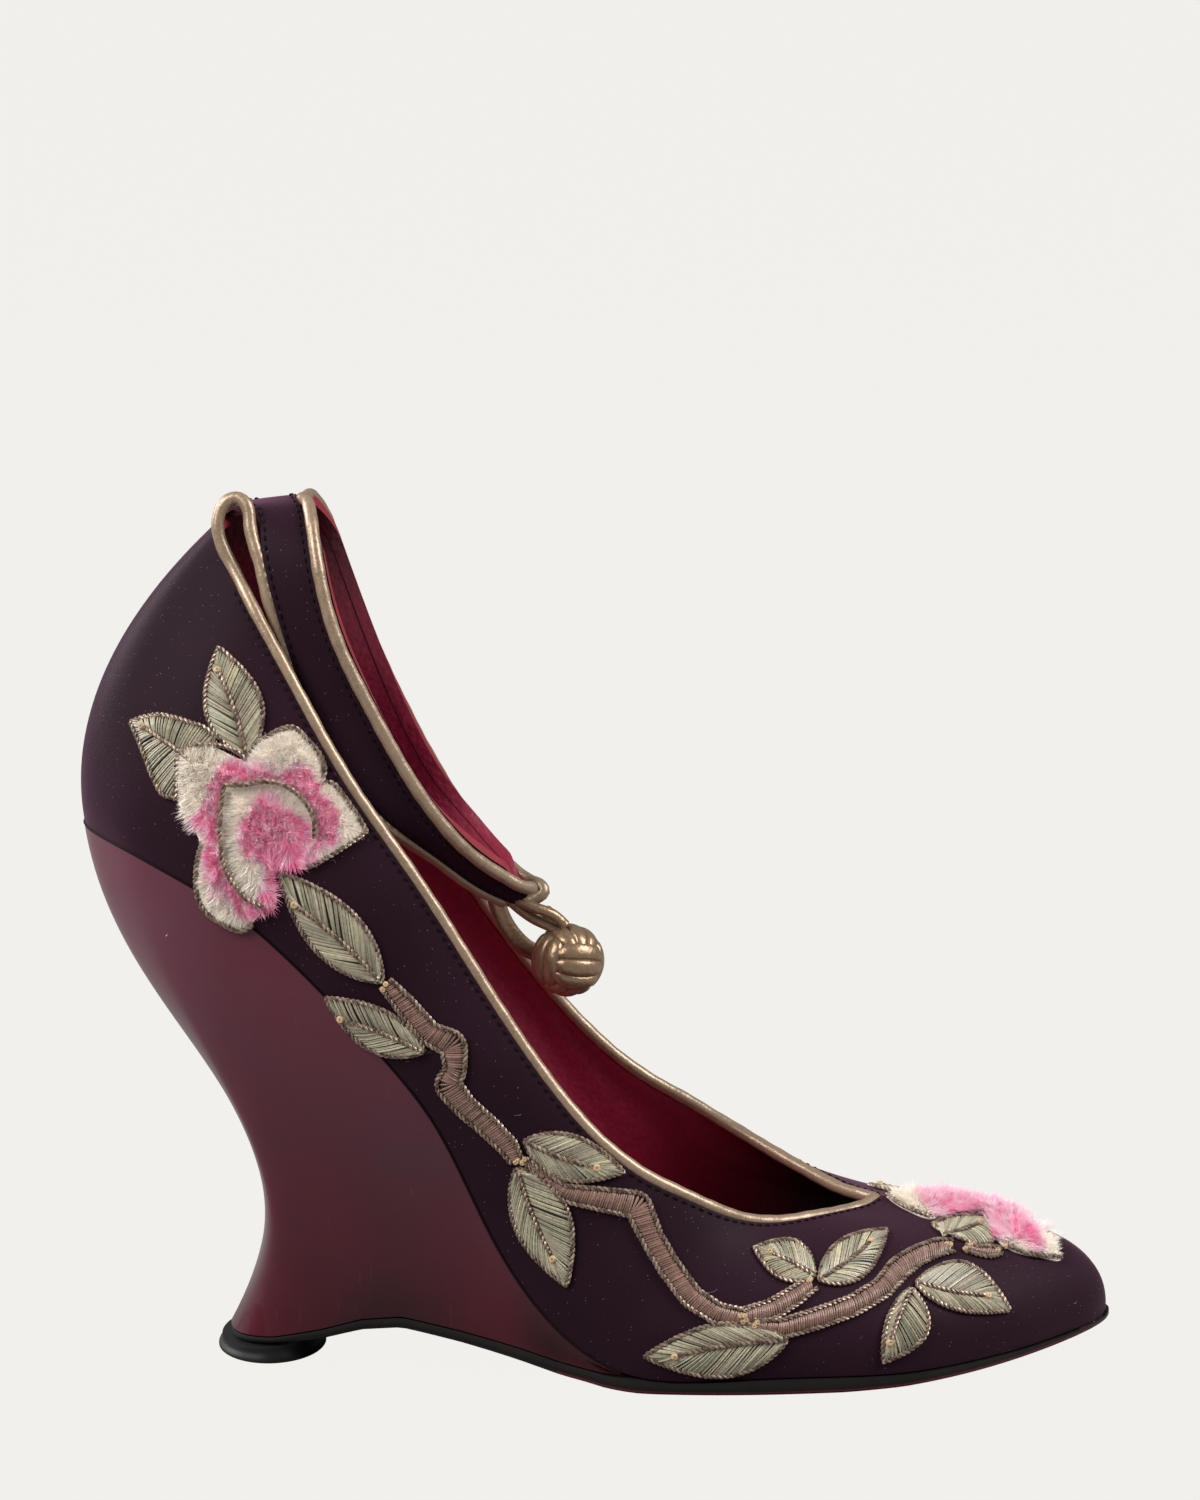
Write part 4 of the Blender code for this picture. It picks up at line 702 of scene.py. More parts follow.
def makeWedge():
    steps, levels = wedgeSpec["steps"], wedgeSpec["levels"] + 1
    rows = np.linspace(0.0, wedgeSpec["end"], steps + 1)
    points = np.vstack([wedgeSide(rows, "Lat", -1).reshape(-1, 3),
                        wedgeSide(rows[1:], "Med", 1).reshape(-1, 3)])
    i = np.arange(steps)[:, None]
    k = np.arange(levels - 1)[None, :]

    def lat(i, k):
        return i * levels + k

    def med(i, k):
        return np.where(i == 0, k, (steps + i) * levels + k)

    def quads(a, b, c, d):
        return np.stack(np.broadcast_arrays(a, b, c, d), -1).reshape(-1, 4)

    last = levels - 1
    one = np.arange(1, steps)
    faceSets = [quads(lat(i, k), lat(i, k + 1), lat(i + 1, k + 1), lat(i + 1, k)),
                quads(med(i, k), med(i + 1, k), med(i + 1, k + 1), med(i, k + 1)),
                quads(lat(one, 0), lat(one + 1, 0), med(one + 1, 0), med(one, 0)),
                quads(med(one, last), med(one + 1, last), lat(one + 1, last), lat(one, last)),
                np.array([[lat(0, 0), lat(1, 0), int(med(1, 0))]]),
                np.array([[int(med(1, last)), lat(1, last), lat(0, last)]]),
                quads(lat(steps, k), lat(steps, k + 1), med(steps, k + 1), med(steps, k))]
    bundle = Bundle()
    bundle.add(points, faceSets)
    return bundle.make("wedge", [lacquer], ["wedge"])


def soleEdgeAt(rows, yName):
    place = placeOn(yName, rows)
    base = wedgeEdge(np.minimum(rows, len(wedgeSpec["rows"]) - 1), yName)
    ahead = upperPoint(place + soleSpec["probe"], 0.0) - upperPoint(place - soleSpec["probe"], 0.0)
    out = unit(np.stack([ahead[:, 1], -ahead[:, 0], np.zeros(len(rows))], 1))
    share = smoothStep(*soleSpec["joinRows"], rows)[:, None]
    return base * (1 - share) + upperPoint(place, 0.0) * share + out * soleSpec["proud"] * share


def makeSole():
    first, last = soleSpec["ends"][0], toeRow - soleSpec["ends"][1]
    rows = first + (last - first) * (1 - np.cos(np.linspace(0.0, math.pi, soleSpec["steps"]))) / 2
    share = smoothStep(*soleSpec["topJoinRows"], rows)
    edges = []
    for yName, place in (("Lat", outerAt(rows)), ("Med", innerAt(rows))):
        edge = soleEdgeAt(rows, yName)
        under = upperPoint(place, 0.0)[:, 2] - upperSpec["gap"]
        top = (1 - share) * soleTopAt(edge[:, 0]) + share * under
        edges.append((edge, top, soleUnderAt(edge[:, 0])))
    (lat, latTop, latUnder), (med, medTop, medUnder) = edges
    across = unit((med - lat) * (1, 1, 0))
    bevel = np.minimum(soleSpec["bevel"], np.linalg.norm(med - lat, axis=1) * soleSpec["bevelShare"])

    def at(edge, inset, height):
        return np.column_stack([(edge + across * np.reshape(inset, (-1, 1)))[:, :2], height])

    swell = soleSpec["swell"]
    rings = np.stack([at(lat, -swell, (latUnder + bevel + latTop) / 2), at(lat, 0, latUnder + bevel),
                      at(lat, bevel, latUnder), at(med, -bevel, medUnder), at(med, 0, medUnder + bevel),
                      at(med, swell, (medUnder + bevel + medTop) / 2), at(med, 0, medTop),
                      at(lat, 0, latTop)], 1)
    faces = loftFaces(rings.shape[0], rings.shape[1])
    column = np.tile(np.arange(rings.shape[1]), rings.shape[0] - 1)
    ahead = np.repeat(rows[:-1], rings.shape[1]) > soleSpec["redFrom"]
    red = (column >= 1) & (column <= 3) & ahead         # bevels and underside of the front part
    bundle = Bundle()
    bundle.add(rings, [faces[0][~red], faces[1], faces[2]])
    bundle.faces.append(faces[0][red])
    bundle.kinds.append(np.ones(red.sum(), int))
    return bundle.make("outsole", [soleEdge, soleUnder], ["outsole"], sharp=70.0)


def makeLift():
    turn = np.linspace(0.0, 2 * math.pi, liftSpec["steps"], endpoint=False)

    def oval(radii):
        x = liftSpec["centre"] + radii[0] * np.cos(turn)
        return np.stack([x, radii[1] * np.sin(turn), 0 * turn], 1)

    foot, top = oval(liftSpec["footRadii"]), oval(liftSpec["topRadii"])
    top[:, 2] = soleUnderAt(top[:, 0]) - upperSpec["gap"]
    rings = []
    for level in np.linspace(0.0, 1.0, liftSpec["levels"]):
        share = smoothStep(*liftSpec["drawIn"], level)  # a straight foot, then drawn in
        ring = foot * (1 - share) + top * share
        ring[:, 2] = top[:, 2] * level
        rings.append(ring)
    bundle = Bundle()
    bundle.add(rings, loftFaces(len(rings), liftSpec["steps"]))
    return bundle.make("top_lift", [rubber], ["top_lift"])


def makeInsole():
    middle = np.linspace(*soleSpec["insoleRows"], soleSpec["insoleSteps"])
    rows = np.concatenate([soleSpec["insoleHeel"], middle, soleSpec["insoleToe"]])
    square = bedSquare(rows)
    tuck = upperSpec["wall"] * soleSpec["insoleTuck"]       # its edges run into the wall
    lat, med = [upperPoint(place, 0.0) - upperNormal(place, np.zeros(len(rows))) * tuck
                for place in (outerAt(rows), innerAt(rows))]
    rings = [lat, med]
    for share in np.linspace(0.0, 1.0, soleSpec["insoleAcross"]):
        thick = soleSpec["insoleThick"] * (1 - soleSpec["insoleRound"] * (2 * share - 1) ** 6)
        rings.append(med + (lat - med) * share + square * thick)
    rings = np.stack(rings, 1)
    bundle = Bundle()
    bundle.add(rings, loftFaces(rings.shape[0], rings.shape[1]))
    return bundle.make("insole", [lining], ["insole"])


makeWedge()
makeSole()
makeLift()
makeInsole()
print("wedge and sole made")


# the ankle strap, its upper and lower edge from the middle of the back to the end of the outer arm
strapSpec = {
    "rows": (       # top x y z, low x y z, and how much further ahead and lower the inner arm lies
        (-60.8, 0.0, 172.6, -74.2, 0.0, 170.1, 0.0, 0.0),
        (-59.2, -6.2, 170.8, -68.2, -6.0, 170.6, 0.0, 0.0),
        (-57.6, -12.4, 165.2, -66.6, -11.4, 164.8, 1.4, 0.0),
        (-55.7, -15.8, 156.4, -64.4, -14.4, 155.2, 2.4, 0.0),
        (-52.6, -17.2, 146.4, -61.0, -15.6, 144.0, 2.7, 0.2),
        (-48.4, -17.8, 136.6, -56.8, -17.6, 132.8, 2.4, 0.4),
        (-43.0, -17.6, 125.6, -50.6, -18.8, 121.4, 2.1, 0.7),
        (-36.4, -16.2, 114.4, -42.8, -17.2, 111.6, 1.9, 1.0),
        (-28.6, -13.1, 105.6, -33.0, -11.6, 103.3, 1.3, 1.4),
        (-21.2, -8.4, 99.0, -25.0, -6.8, 96.4, 0.7, 1.6),
        (-14.6, -4.4, 94.3, -18.0, -3.4, 92.2, 0.9, 1.4),
    ),
    "thick": 2.2, "steps": 90, "acrossSteps": 10, "crown": 0.25, "roundOff": 0.15,
    # the upper edge stands out behind the piping between these rows of the table
    "lip": 3.0, "lipRows": (1.0, 2.2, 8.9, 9.7), "farLipRows": (0.0, 0.7, 8.9, 9.7),
    "besideRows": (0.2, 1.0, 9.6, 10.0),
}
strapEnd = len(strapSpec["rows"]) - 1.0
strapCurve = spline(np.arange(len(strapSpec["rows"])), np.array(strapSpec["rows"]))


def lipAt(places, inner):
    return strapSpec["lip"] * between(places, strapSpec["farLipRows" if inner else "lipRows"])


def strapEdges(places, inner):
    values = strapCurve(places)
    top, low = values[:, 0:3].copy(), values[:, 3:6].copy()
    if inner:
        for edge in (top, low):
            edge += np.stack([values[:, 6], -2 * edge[:, 1], -values[:, 7]], 1)
    return top + unit(top - low) * lipAt(places, inner)[:, None], low


def strapBand(steps):
    # both edges from the outer arm's end round the back to the inner arm's end, and the way out
    places = np.linspace(0.0, strapEnd, steps + 1)
    outer, inner = strapEdges(places[::-1], False), strapEdges(places[1:], True)
    top, low = np.vstack([outer[0], inner[0]]), np.vstack([outer[1], inner[1]])
    out = unit(np.cross(top - low, unit(np.gradient((top + low) / 2, axis=0))))
    return top, low, out


def makeStrap():
    top, low, out = strapBand(strapSpec["steps"])
    half = strapSpec["thick"] / 2
    rings = []
    up = np.linspace(0.0, 1.0, strapSpec["acrossSteps"] + 1)
    for side, shares in ((1, up), (-1, up[::-1])):
        for share in shares:
            crown = strapSpec["crown"] * 4 * share * (1 - share)
            crown = crown - strapSpec["roundOff"] * (2 * share - 1) ** 8
            rings.append(low + (top - low) * share + out * side * (half + crown))
    rings = np.stack(rings, 1)
    count, size = rings.shape[:2]
    faces = loftFaces(count, size)
    column = np.tile(np.arange(size), count - 1)
    steps = strapSpec["acrossSteps"]
    kinds = np.where(column < steps, 0, np.where(column == steps, 2, 1))
    bundle = Bundle()
    bundle.add(rings, [faces[0]])
    bundle.kinds = [kinds]
    for cap in faces[1:]:
        bundle.faces.append(cap)
        bundle.kinds.append(np.full(1, 2))
    along = runLength((top + low) / 2)
    across = np.linalg.norm(np.diff(rings, axis=1, prepend=rings[:, :1]), axis=2).cumsum(axis=1)
    spans = np.stack([np.broadcast_to(along[:, None], across.shape), across, 0 * across], -1).reshape(-1, 3)
    return bundle.make("strap", [satin, lining, redEdge], ["strap"],
                       span=lambda corners: spans[corners])


makeStrap()

# gold piping: a soft bead on the topline and round the strap
pipingSpec = {
    "radius": 1.3, "step": 0.7, "sides": 14, "swell": 0.05, "turnRow": 2.3,
    "farDrop": 5.2, "archSpan": (163.0, 174.0), "axis": (-50.0, 0.0, 0.0),
    "toplineSteps": 30, "lowerSteps": 14, "upperSteps": 41,
    "waves": ((0.9, 0.0), (0.37, 1.0)), "taper": (0.55, 0.9),
    # how deep the bead sits, in radii: on the topline, on the strap's lower edge and on its outside
    "toplineSit": 0.85, "lowerSit": 0.8, "outsideSit": 0.6,
    "arch": ((-75.4, -9.2, 167.6), (-75.1, -8.4, 171.2), (-73.6, -8.0, 173.4),
             (-71.4, -8.1, 174.0), (-69.7, -8.9, 172.6), (-69.1, -10.0, 169.2)),
    "wrap": ((-11.6, 4.0, 92.7), (-13.9, 3.1, 90.9), (-16.3, 2.5, 89.5)),
}


def toplinePath(rows, inner):
    place = innerAt(rows) if inner else outerAt(rows)
    normal = upperNormal(place, np.ones(len(rows)))
    step = upperSpec["aroundProbe"]
    along = unit(upperPoint(place + step, 1.0) - upperPoint(place - step, 1.0))
    beside = np.cross(normal, along) * pipingSpec["radius"] * pipingSpec["toplineSit"]
    return upperPoint(place, 1.0) - normal * upperSpec["wall"] / 2 + beside


def strapPath(places, inner, lower):
    # the lower bead ends the band, the upper one lies on its outside below the painted edge
    top, low = strapEdges(places, inner)
    if lower:
        return low + unit(low - top) * pipingSpec["radius"] * pipingSpec["lowerSit"]
    middle = (top + low) / 2
    out = unit(np.cross(top - low, np.gradient(middle, axis=0)))
    out *= np.sign((out * (middle - pipingSpec["axis"]) * (1, 1, 0)).sum(1))[:, None]
    above = pipingSpec["radius"] + upperSpec["gap"] - lipAt(places, inner)
    reach = strapSpec["thick"] / 2 + pipingSpec["radius"] * pipingSpec["outsideSit"]
    beside = reach * between(places, strapSpec["besideRows"])
    return top + unit(top - low) * above[:, None] + out * beside[:, None]


def makeBead(name, path):
    path = evenPoints(path, pipingSpec["step"])
    wander = sum(np.sin(np.arange(len(path)) * rate + phase) for rate, phase in pipingSpec["waves"])
    radius = pipingSpec["radius"] * (1 + pipingSpec["swell"] * wander / 2)
    radius[:2] *= pipingSpec["taper"]
    radius[-2:] *= pipingSpec["taper"][::-1]
    bundle = Bundle()
    bundle.add(*sweep(path[None], carriedUps(path)[None], radius[None], pipingSpec["sides"]))
    return bundle.make(name, [gold], [name])


def makePipings():
    ends = np.linspace(pipingSpec["turnRow"], strapEnd, pipingSpec["lowerSteps"])
    topline = np.linspace(pipingSpec["turnRow"], toeRow, pipingSpec["toplineSteps"])
    arch = np.array(pipingSpec["arch"])
    lower, upper = pipingSpec["archSpan"]
    far = arch * (1, -1, 1)                     # the inner side's arch is lower
    far[:, 2] -= pipingSpec["farDrop"] * (arch[:, 2] - lower) / (upper - lower)
    makeBead("collar_piping", np.vstack([
        strapPath(ends[::-1], False, True), arch[::-1], toplinePath(topline, False),
        toplinePath(topline[:-1][::-1], True), far, strapPath(ends[1:], True, True)]))
    places = np.linspace(0.0, strapEnd, pipingSpec["upperSteps"])
    makeBead("strap_piping", np.vstack([
        strapPath(places[::-1], False, False), strapPath(places[1:], True, False), pipingSpec["wrap"]]))


makePipings()

# lining behind the slit between the upper and the strap, on the inner side
slitSpec = {"rows": (0.0, 3.2), "steps": 24, "across": 8, "thick": 0.8, "inset": 1.6, "up": 0.93,
            "behind": 0.5, "overlap": 2.5,
            "bulge": 2.2, "bulgeRows": (0.6, 2.2), "bulgeWay": (-0.3, 0.0, 0.95)}


def makeSlitLining():
    at = np.linspace(*slitSpec["rows"], slitSpec["steps"])
    place = innerAt(at)
    up = np.full(len(at), slitSpec["up"])
    line = upperPoint(place, up) - upperNormal(place, up) * (upperSpec["wall"] + slitSpec["behind"])
    top, low = strapEdges(at, True)
    edge = low + unit(top - low) * slitSpec["overlap"] - np.array((0.0, slitSpec["inset"], 0.0))
    share = np.linspace(0.0, 1.0, slitSpec["across"])[None, :, None]
    sheet = line[:, None] * (1 - share) + edge[:, None] * share
    bulge = slitSpec["bulge"] * (1 - smoothStep(*slitSpec["bulgeRows"], at))[:, None]
    bulge = bulge * np.sin(math.pi * share[..., 0]) ** 0.6
    sheet = sheet + bulge[..., None] * np.array(slitSpec["bulgeWay"])
    inward = np.array((0.0, -slitSpec["thick"], 0.0))
    count, size = sheet.shape[:2]
    faces = sheetFaces(count, size)
    start = count * size
    border = np.concatenate([np.arange(size), np.arange(1, count) * size + size - 1,
                             (count - 1) * size + np.arange(size - 2, -1, -1),
                             np.arange(count - 2, 0, -1) * size])
    following = np.roll(border, -1)
    skirt = np.stack([border, following, following + start, border + start], 1)
    bundle = Bundle()
    bundle.add(np.vstack([sheet.reshape(-1, 3), (sheet + inward).reshape(-1, 3)]),
               [faces, faces[:, ::-1] + start, skirt])
    return bundle.make("slit_lining", [lining])


makeSlitLining()

# rows of dark stitches beside the piping, a dark line in the strap's lining, painted shade of the groove
# where it is sewn, and the joint over the wedge
stitchSpec = {"pitch": 2.0, "radius": 0.2, "beside": 0.75, "lowInset": 0.8, "proud": 0.1,
              "points": 5, "sides": 5, "endRows": (0.4, 0.3), "steps": 900, "bandSteps": 400,
              "colour": tone(17, 10, 14),
              "seamInset": 2.4, "seamRadius": 0.16, "seamSides": 6, "seamShadeColour": tone(74, 11, 26),
              "jointSteps": 240, "jointRadius": 0.3, "jointSides": 8, "jointColour": tone(14, 7, 10)}


def addStitches(bundle, path, ups, colour):
    # path and ups at points half a pitch apart; every other gap is a stitch
    first, last = path[:-1:2], path[1::2]
    count = min(len(first), len(last))
    first, last, up = first[:count], last[:count], ups[:-1:2][:count]
    share = np.linspace(0.0, 1.0, stitchSpec["points"])[None, :, None]
    lift = stitchSpec["radius"] * np.sin(math.pi * share)
    runs = first[:, None] + (last - first)[:, None] * share
    bundle.add(*sweep(runs + up[:, None] * lift, np.broadcast_to(up[:, None], runs.shape),
                      np.full((1, stitchSpec["points"]), stitchSpec["radius"]), stitchSpec["sides"]),
               tint=colour)


def makeStitches():
    bundle = Bundle()
    first, last = pipingSpec["turnRow"] + stitchSpec["endRows"][0], toeRow - stitchSpec["endRows"][1]
    for placeOf in (outerAt, innerAt):
        rows = np.linspace(first, last, stitchSpec["steps"])
        place = placeOf(rows)
        line = upperPoint(place, 1.0)
        reach = np.linalg.norm(line - upperPoint(place, 0.9), axis=1)
        up = 1.0 - 0.1 * stitchSpec["beside"] / reach
        points = upperPoint(place, up)
        at = np.arange(0.0, runLength(points)[-1], stitchSpec["pitch"] / 2)
        place, up = np.interp(at, runLength(points), place), np.interp(at, runLength(points), up)
        addStitches(bundle, upperPoint(place, up), upperNormal(place, up), stitchSpec["colour"])
        joint = placeOf(np.linspace(0.0, wedgeSpec["end"], stitchSpec["jointSteps"]))
        ups = upperNormal(joint, np.zeros(len(joint)))      # dark line between upper and wedge
        bundle.add(*tube(upperPoint(joint, 0.0), ups, stitchSpec["jointRadius"], stitchSpec["jointSides"]),
                   tint=stitchSpec["jointColour"])
    top, low, out = strapBand(stitchSpec["bandSteps"])
    places = np.linspace(-strapEnd, strapEnd, len(top))
    inset = np.where(places < 0, lipAt(-places, False), lipAt(places, True))[:, None] + stitchSpec["beside"]
    lift = out * (strapSpec["thick"] / 2 + stitchSpec["proud"])
    # a dark line along the seam where the lining is sewn: painted shade of the groove there
    seamShadeLine = top + unit(low - top) * stitchSpec["seamInset"] - lift         # where the lining is sewn
    bundle.add(*tube(seamShadeLine, -out, stitchSpec["seamRadius"], stitchSpec["seamSides"]),
               tint=stitchSpec["seamShadeColour"])
    for edge, other, inward in ((top, low, inset), (low, top, stitchSpec["lowInset"])):
        line = edge + unit(other - edge) * inward + lift
        at = np.arange(0.0, runLength(line)[-1], stitchSpec["pitch"] / 2)
        line, ups = [alongLine(at, runLength(line), part) for part in (line, out)]
        addStitches(bundle, line, unit(ups), stitchSpec["colour"])
    return bundle.make("edge_stitches", [darkThread])


makeStitches()
print("strap, piping and stitches made")


# the drawing on which the embroidery and the fastening are laid out: a runs to the toe, b up
drawingSpec = {"tilt": 10.0, "distance": 1100.0, "target": (-0.2, 0.0, 122.2),
               "planHeight": 200.0, "planReach": 170.0}
drawingTilt = math.radians(drawingSpec["tilt"])
drawingTarget = Vector(drawingSpec["target"])
drawingBack = Vector((0.0, -math.cos(drawingTilt), math.sin(drawingTilt)))
drawingEye = drawingTarget + drawingSpec["distance"] * drawingBack


def drawingRay(spot):
    rise = Vector((0, math.sin(drawingTilt), math.cos(drawingTilt)))
    point = drawingTarget + float(spot[0]) * Vector((1, 0, 0)) + float(spot[1]) * rise
    return drawingEye, (point - drawingEye).normalized()


def planRay(spot):
    # the toe flower and the leaf at the throat are drawn from above
    return Vector((float(spot[0]), float(spot[1]), drawingSpec["planHeight"])), Vector((0, 0, -1))


def drawnAt(a, b, y):
    # the point of a line of sight at a given y
    start, way = drawingRay((a, b))
    return np.array(start + way * ((y - start.y) / way.y))


# the fastening: a ball of woven strips on a doubled cord, and a loop
buttonSpec = {"radius": 7.4, "centre": (-6.7, -2.0, 79.7), "stripHeight": 0.55, "turn": 9.0, "yaw": 28.0,
              "strips": 3, "reach": 52.0, "steps": 18, "profile": 7,
              # in strip heights: the dip at a strip's ends, its depth and the depth of the core
              "dip": 0.75, "depth": 2.2, "coreDepth": 1.5, "dipFrom": 0.72, "roundness": 0.96,
              "coreSides": 24, "coreRings": 13, "coreReach": 1.5,
              "panels": (     # the way out of each panel and the way its strips run
                  ((0, -1, 0), (1, 0, 0)), ((0, 1, 0), (1, 0, 0)), ((0, 0, 1), (0, 1, 0)),
                  ((0, 0, -1), (0, 1, 0)), ((1, 0, 0), (0, 0, 1)), ((-1, 0, 0), (0, 0, 1)))}
cordSpec = {
    "radius": 1.3, "sides": 12, "stemFlat": 0.85, "stemStep": 0.4,
    "loopWide": 1.4, "loopFlat": 0.45, "loopStep": 0.5, "loopUp": (0.3, -1.0, 0.2),
    "stem": (       # a, b and y along each of the two cords
        ((-18.6, -28.4, -3.2), (-15.6, -30.4, -4.0), (-12.6, -31.7, -4.4), (-9.6, -32.8, -4.2),
         (-7.0, -35.0, -3.6)),
        ((-18.4, -29.8, -2.6), (-15.8, -32.0, -2.8), (-12.8, -34.0, -3.0), (-10.2, -35.2, -3.0),
         (-7.6, -36.6, -2.6)),
    ),
    "loop": ((-21.6, 0.2, 93.6), (-20.8, 0.8, 90.4), (-19.4, 1.6, 86.6), (-16.8, 3.2, 82.6),
             (-13.2, 5.8, 79.6), (-9.0, 7.8, 79.6), (-8.0, 7.8, 82.6), (-9.6, 6.6, 85.8),
             (-11.6, 5.4, 88.0)),
}


def turned(degrees, first, second):
    # a turn in the plane of two axes
    turn = math.radians(degrees)
    matrix = np.eye(3)
    matrix[first, first] = matrix[second, second] = math.cos(turn)
    matrix[first, second], matrix[second, first] = -math.sin(turn), math.sin(turn)
    return matrix


def makeButton():
    # six panels; the strips of each dip under its neighbours at both ends
    bundle = Bundle()
    centre = np.array(buttonSpec["centre"])
    spin = turned(buttonSpec["turn"], 2, 0) @ turned(buttonSpec["yaw"], 0, 1)
    radius, height = buttonSpec["radius"], buttonSpec["stripHeight"]
    reach = math.radians(buttonSpec["reach"])
    along = np.linspace(-1.0, 1.0, buttonSpec["steps"])
    across = np.linspace(-1.0, 1.0, buttonSpec["profile"])
    stripAngle = math.pi / 2 / buttonSpec["strips"]
    for out, way in np.array(buttonSpec["panels"], float):
        aside = np.cross(out, way)
        for strip in range(buttonSpec["strips"]):
            middle = (strip - (buttonSpec["strips"] - 1) / 2) * stripAngle
            rings = []
            for s in along:
                dip = buttonSpec["dip"] * height * smoothStep(buttonSpec["dipFrom"], 1.0, abs(s))
                ring = []
                for e in across:
                    angle = middle + e * stripAngle * 0.5
                    ray = unit(out + math.tan(s * reach) * way + math.tan(angle) * aside)
                    sink = 1 - math.sqrt(max(0.0, 1 - buttonSpec["roundness"] * e * e))
                    ring.append(ray * (radius - dip - height * sink))
                lowest = radius - dip - buttonSpec["depth"] * height
                ring += [unit(ring[-1]) * lowest, unit(ring[0]) * lowest]
                rings.append(ring)
            rings = np.array(rings) @ spin.T + centre
            bundle.add(rings, loftFaces(*rings.shape[:2]))
    sides, rings = buttonSpec["coreSides"], buttonSpec["coreRings"]         # core behind the strips' gaps
    turns = np.linspace(0.0, 2 * math.pi, sides, endpoint=False)
    core = [centre + (radius - buttonSpec["coreDepth"] * height) * np.stack(
        [np.cos(turns) * math.cos(lat), np.sin(turns) * math.cos(lat), np.full(sides, math.sin(lat))], 1)
        for lat in np.linspace(-buttonSpec["coreReach"], buttonSpec["coreReach"], rings)]
    bundle.add(core, loftFaces(rings, sides))
    return bundle.make("knot_button", [oldGold], ["knot_button"], sharp=75.0)


def makeCords():
    bundle = Bundle()
    for points in cordSpec["stem"]:
        path = evenPoints([drawnAt(*point) for point in points], cordSpec["stemStep"])
        bundle.add(*tube(path, carriedUps(path), cordSpec["radius"], cordSpec["sides"],
                         cordSpec["stemFlat"]))
    bundle.make("button_stem", [oldGold], ["button_stem"])
    path = evenPoints(cordSpec["loop"], cordSpec["loopStep"])
    bundle = Bundle()
    bundle.add(*tube(path, carriedUps(path, cordSpec["loopUp"]), cordSpec["radius"] * cordSpec["loopWide"],
                     cordSpec["sides"], cordSpec["loopFlat"]))
    bundle.make("button_loop", [oldGold], ["button_loop"])


makeButton()
makeCords()
print("fastening made")


# embroidery: everything is carried onto the upper and the wedge's outer side
surfaceSteps = {"around": 420, "up": 61, "rows": 121}


def formsUnder():
    around = np.linspace(0.0, ringLength, surfaceSteps["around"], endpoint=False)[:, None]
    upper = upperPoint(around, np.linspace(0.0, 1.0, surfaceSteps["up"])[None, :])
    rows = np.linspace(0.0, wedgeSpec["end"], surfaceSteps["rows"])
    edge = upperPoint(outerAt(rows), 0.0)[:, None]
    wedge = np.concatenate([wedgeSide(rows, "Lat", -1)[:, ::-1], edge], 1)
    faces = np.vstack([sheetFaces(upper.shape[0], upper.shape[1], closed=True),
                       sheetFaces(wedge.shape[0], wedge.shape[1], start=upper.shape[0] * upper.shape[1])])
    points = np.vstack([upper.reshape(-1, 3), wedge.reshape(-1, 3)])
    return BVHTree.FromPolygons([Vector(point) for point in points], faces.tolist())


surface = formsUnder()


def carry(spots, ray):
    # places and outward directions on the shoe under points of a drawing
    spots = np.asarray(spots, float)
    places, outs = np.zeros((len(spots), 3)), np.zeros((len(spots), 3))
    for i, spot in enumerate(spots):
        start, way = ray(spot)
        place, out, _, _ = surface.ray_cast(start, way)
        if place is None:
            reach = drawingSpec["distance" if ray is drawingRay else "planReach"]
            place, out, _, _ = surface.find_nearest(start + way * reach)
        places[i], outs[i] = place, out
    return places, outs


def insidePolygon(spots, outline):
    following = np.roll(outline, -1, axis=0)
    over = (outline[None, :, 1] > spots[:, None, 1]) != (following[None, :, 1] > spots[:, None, 1])
    rise = following[:, 1] - outline[:, 1]
    slope = (following[:, 0] - outline[:, 0]) / np.where(np.abs(rise) < 1e-9, 1e-9, rise)
    left = spots[:, None, 0] < outline[None, :, 0] + slope * (spots[:, None, 1] - outline[None, :, 1])
    return np.count_nonzero(over & left, axis=1) % 2 == 1


def lineDistance(spots, line, closed=False):
    ends = np.roll(line, -1, axis=0) if closed else line[1:]
    starts = line if closed else line[:-1]
    step = ends - starts
    share = ((spots[:, None] - starts) * step).sum(2) / np.maximum((step * step).sum(1), 1e-9)
    near = starts + step * np.clip(share, 0, 1)[..., None]
    return np.linalg.norm(near - spots[:, None], axis=2).min(1)


padSpec = {"clear": 0.45, "foot": 0.02}


def addPad(bundle, outline, ray, pad, kind, tint):
    # a low closed patch under the threads; pad is its edge's height, its rise, over what and its mesh
    edgeHeight, rise, reach, spacing = pad
    outline = np.asarray(outline, float)
    low, high = outline.min(0), outline.max(0)
    lines = [np.arange(low[i] + spacing / 2, high[i], spacing) for i in (0, 1)]
    grid = np.stack(np.meshgrid(*lines, indexing="ij"), -1).reshape(-1, 2)
    if len(grid):
        grid = grid[insidePolygon(grid, outline)]
        grid = grid[lineDistance(grid, outline, True) > spacing * padSpec["clear"]]
    drawn = [Vector(spot) for spot in np.vstack([outline, grid])]
    edges = [(i, (i + 1) % len(outline)) for i in range(len(outline))]
    flat, _, faces, _, _, _ = delaunay_2d_cdt(drawn, edges, [], 1, 1e-5)
    flat = np.array([tuple(spot) for spot in flat])
    places, outs = carry(flat, ray)
    heights = (edgeHeight + rise * smoothStep(0, reach, lineDistance(flat, outline, True)))[:, None]
    size = len(flat)
    faces = np.array([face for face in faces if len(face) == 3])
    borders = set()
    for face in faces.tolist():
        borders.update(zip(face, face[1:] + face[:1]))
    skirt = [(i, j, size + j, size + i) for i, j in sorted(borders) if (j, i) not in borders]
    bundle.add(np.vstack([places + outs * padSpec["foot"], places + outs * heights]),
               [faces + size, faces[:, ::-1], np.array(skirt)], kind, tint)


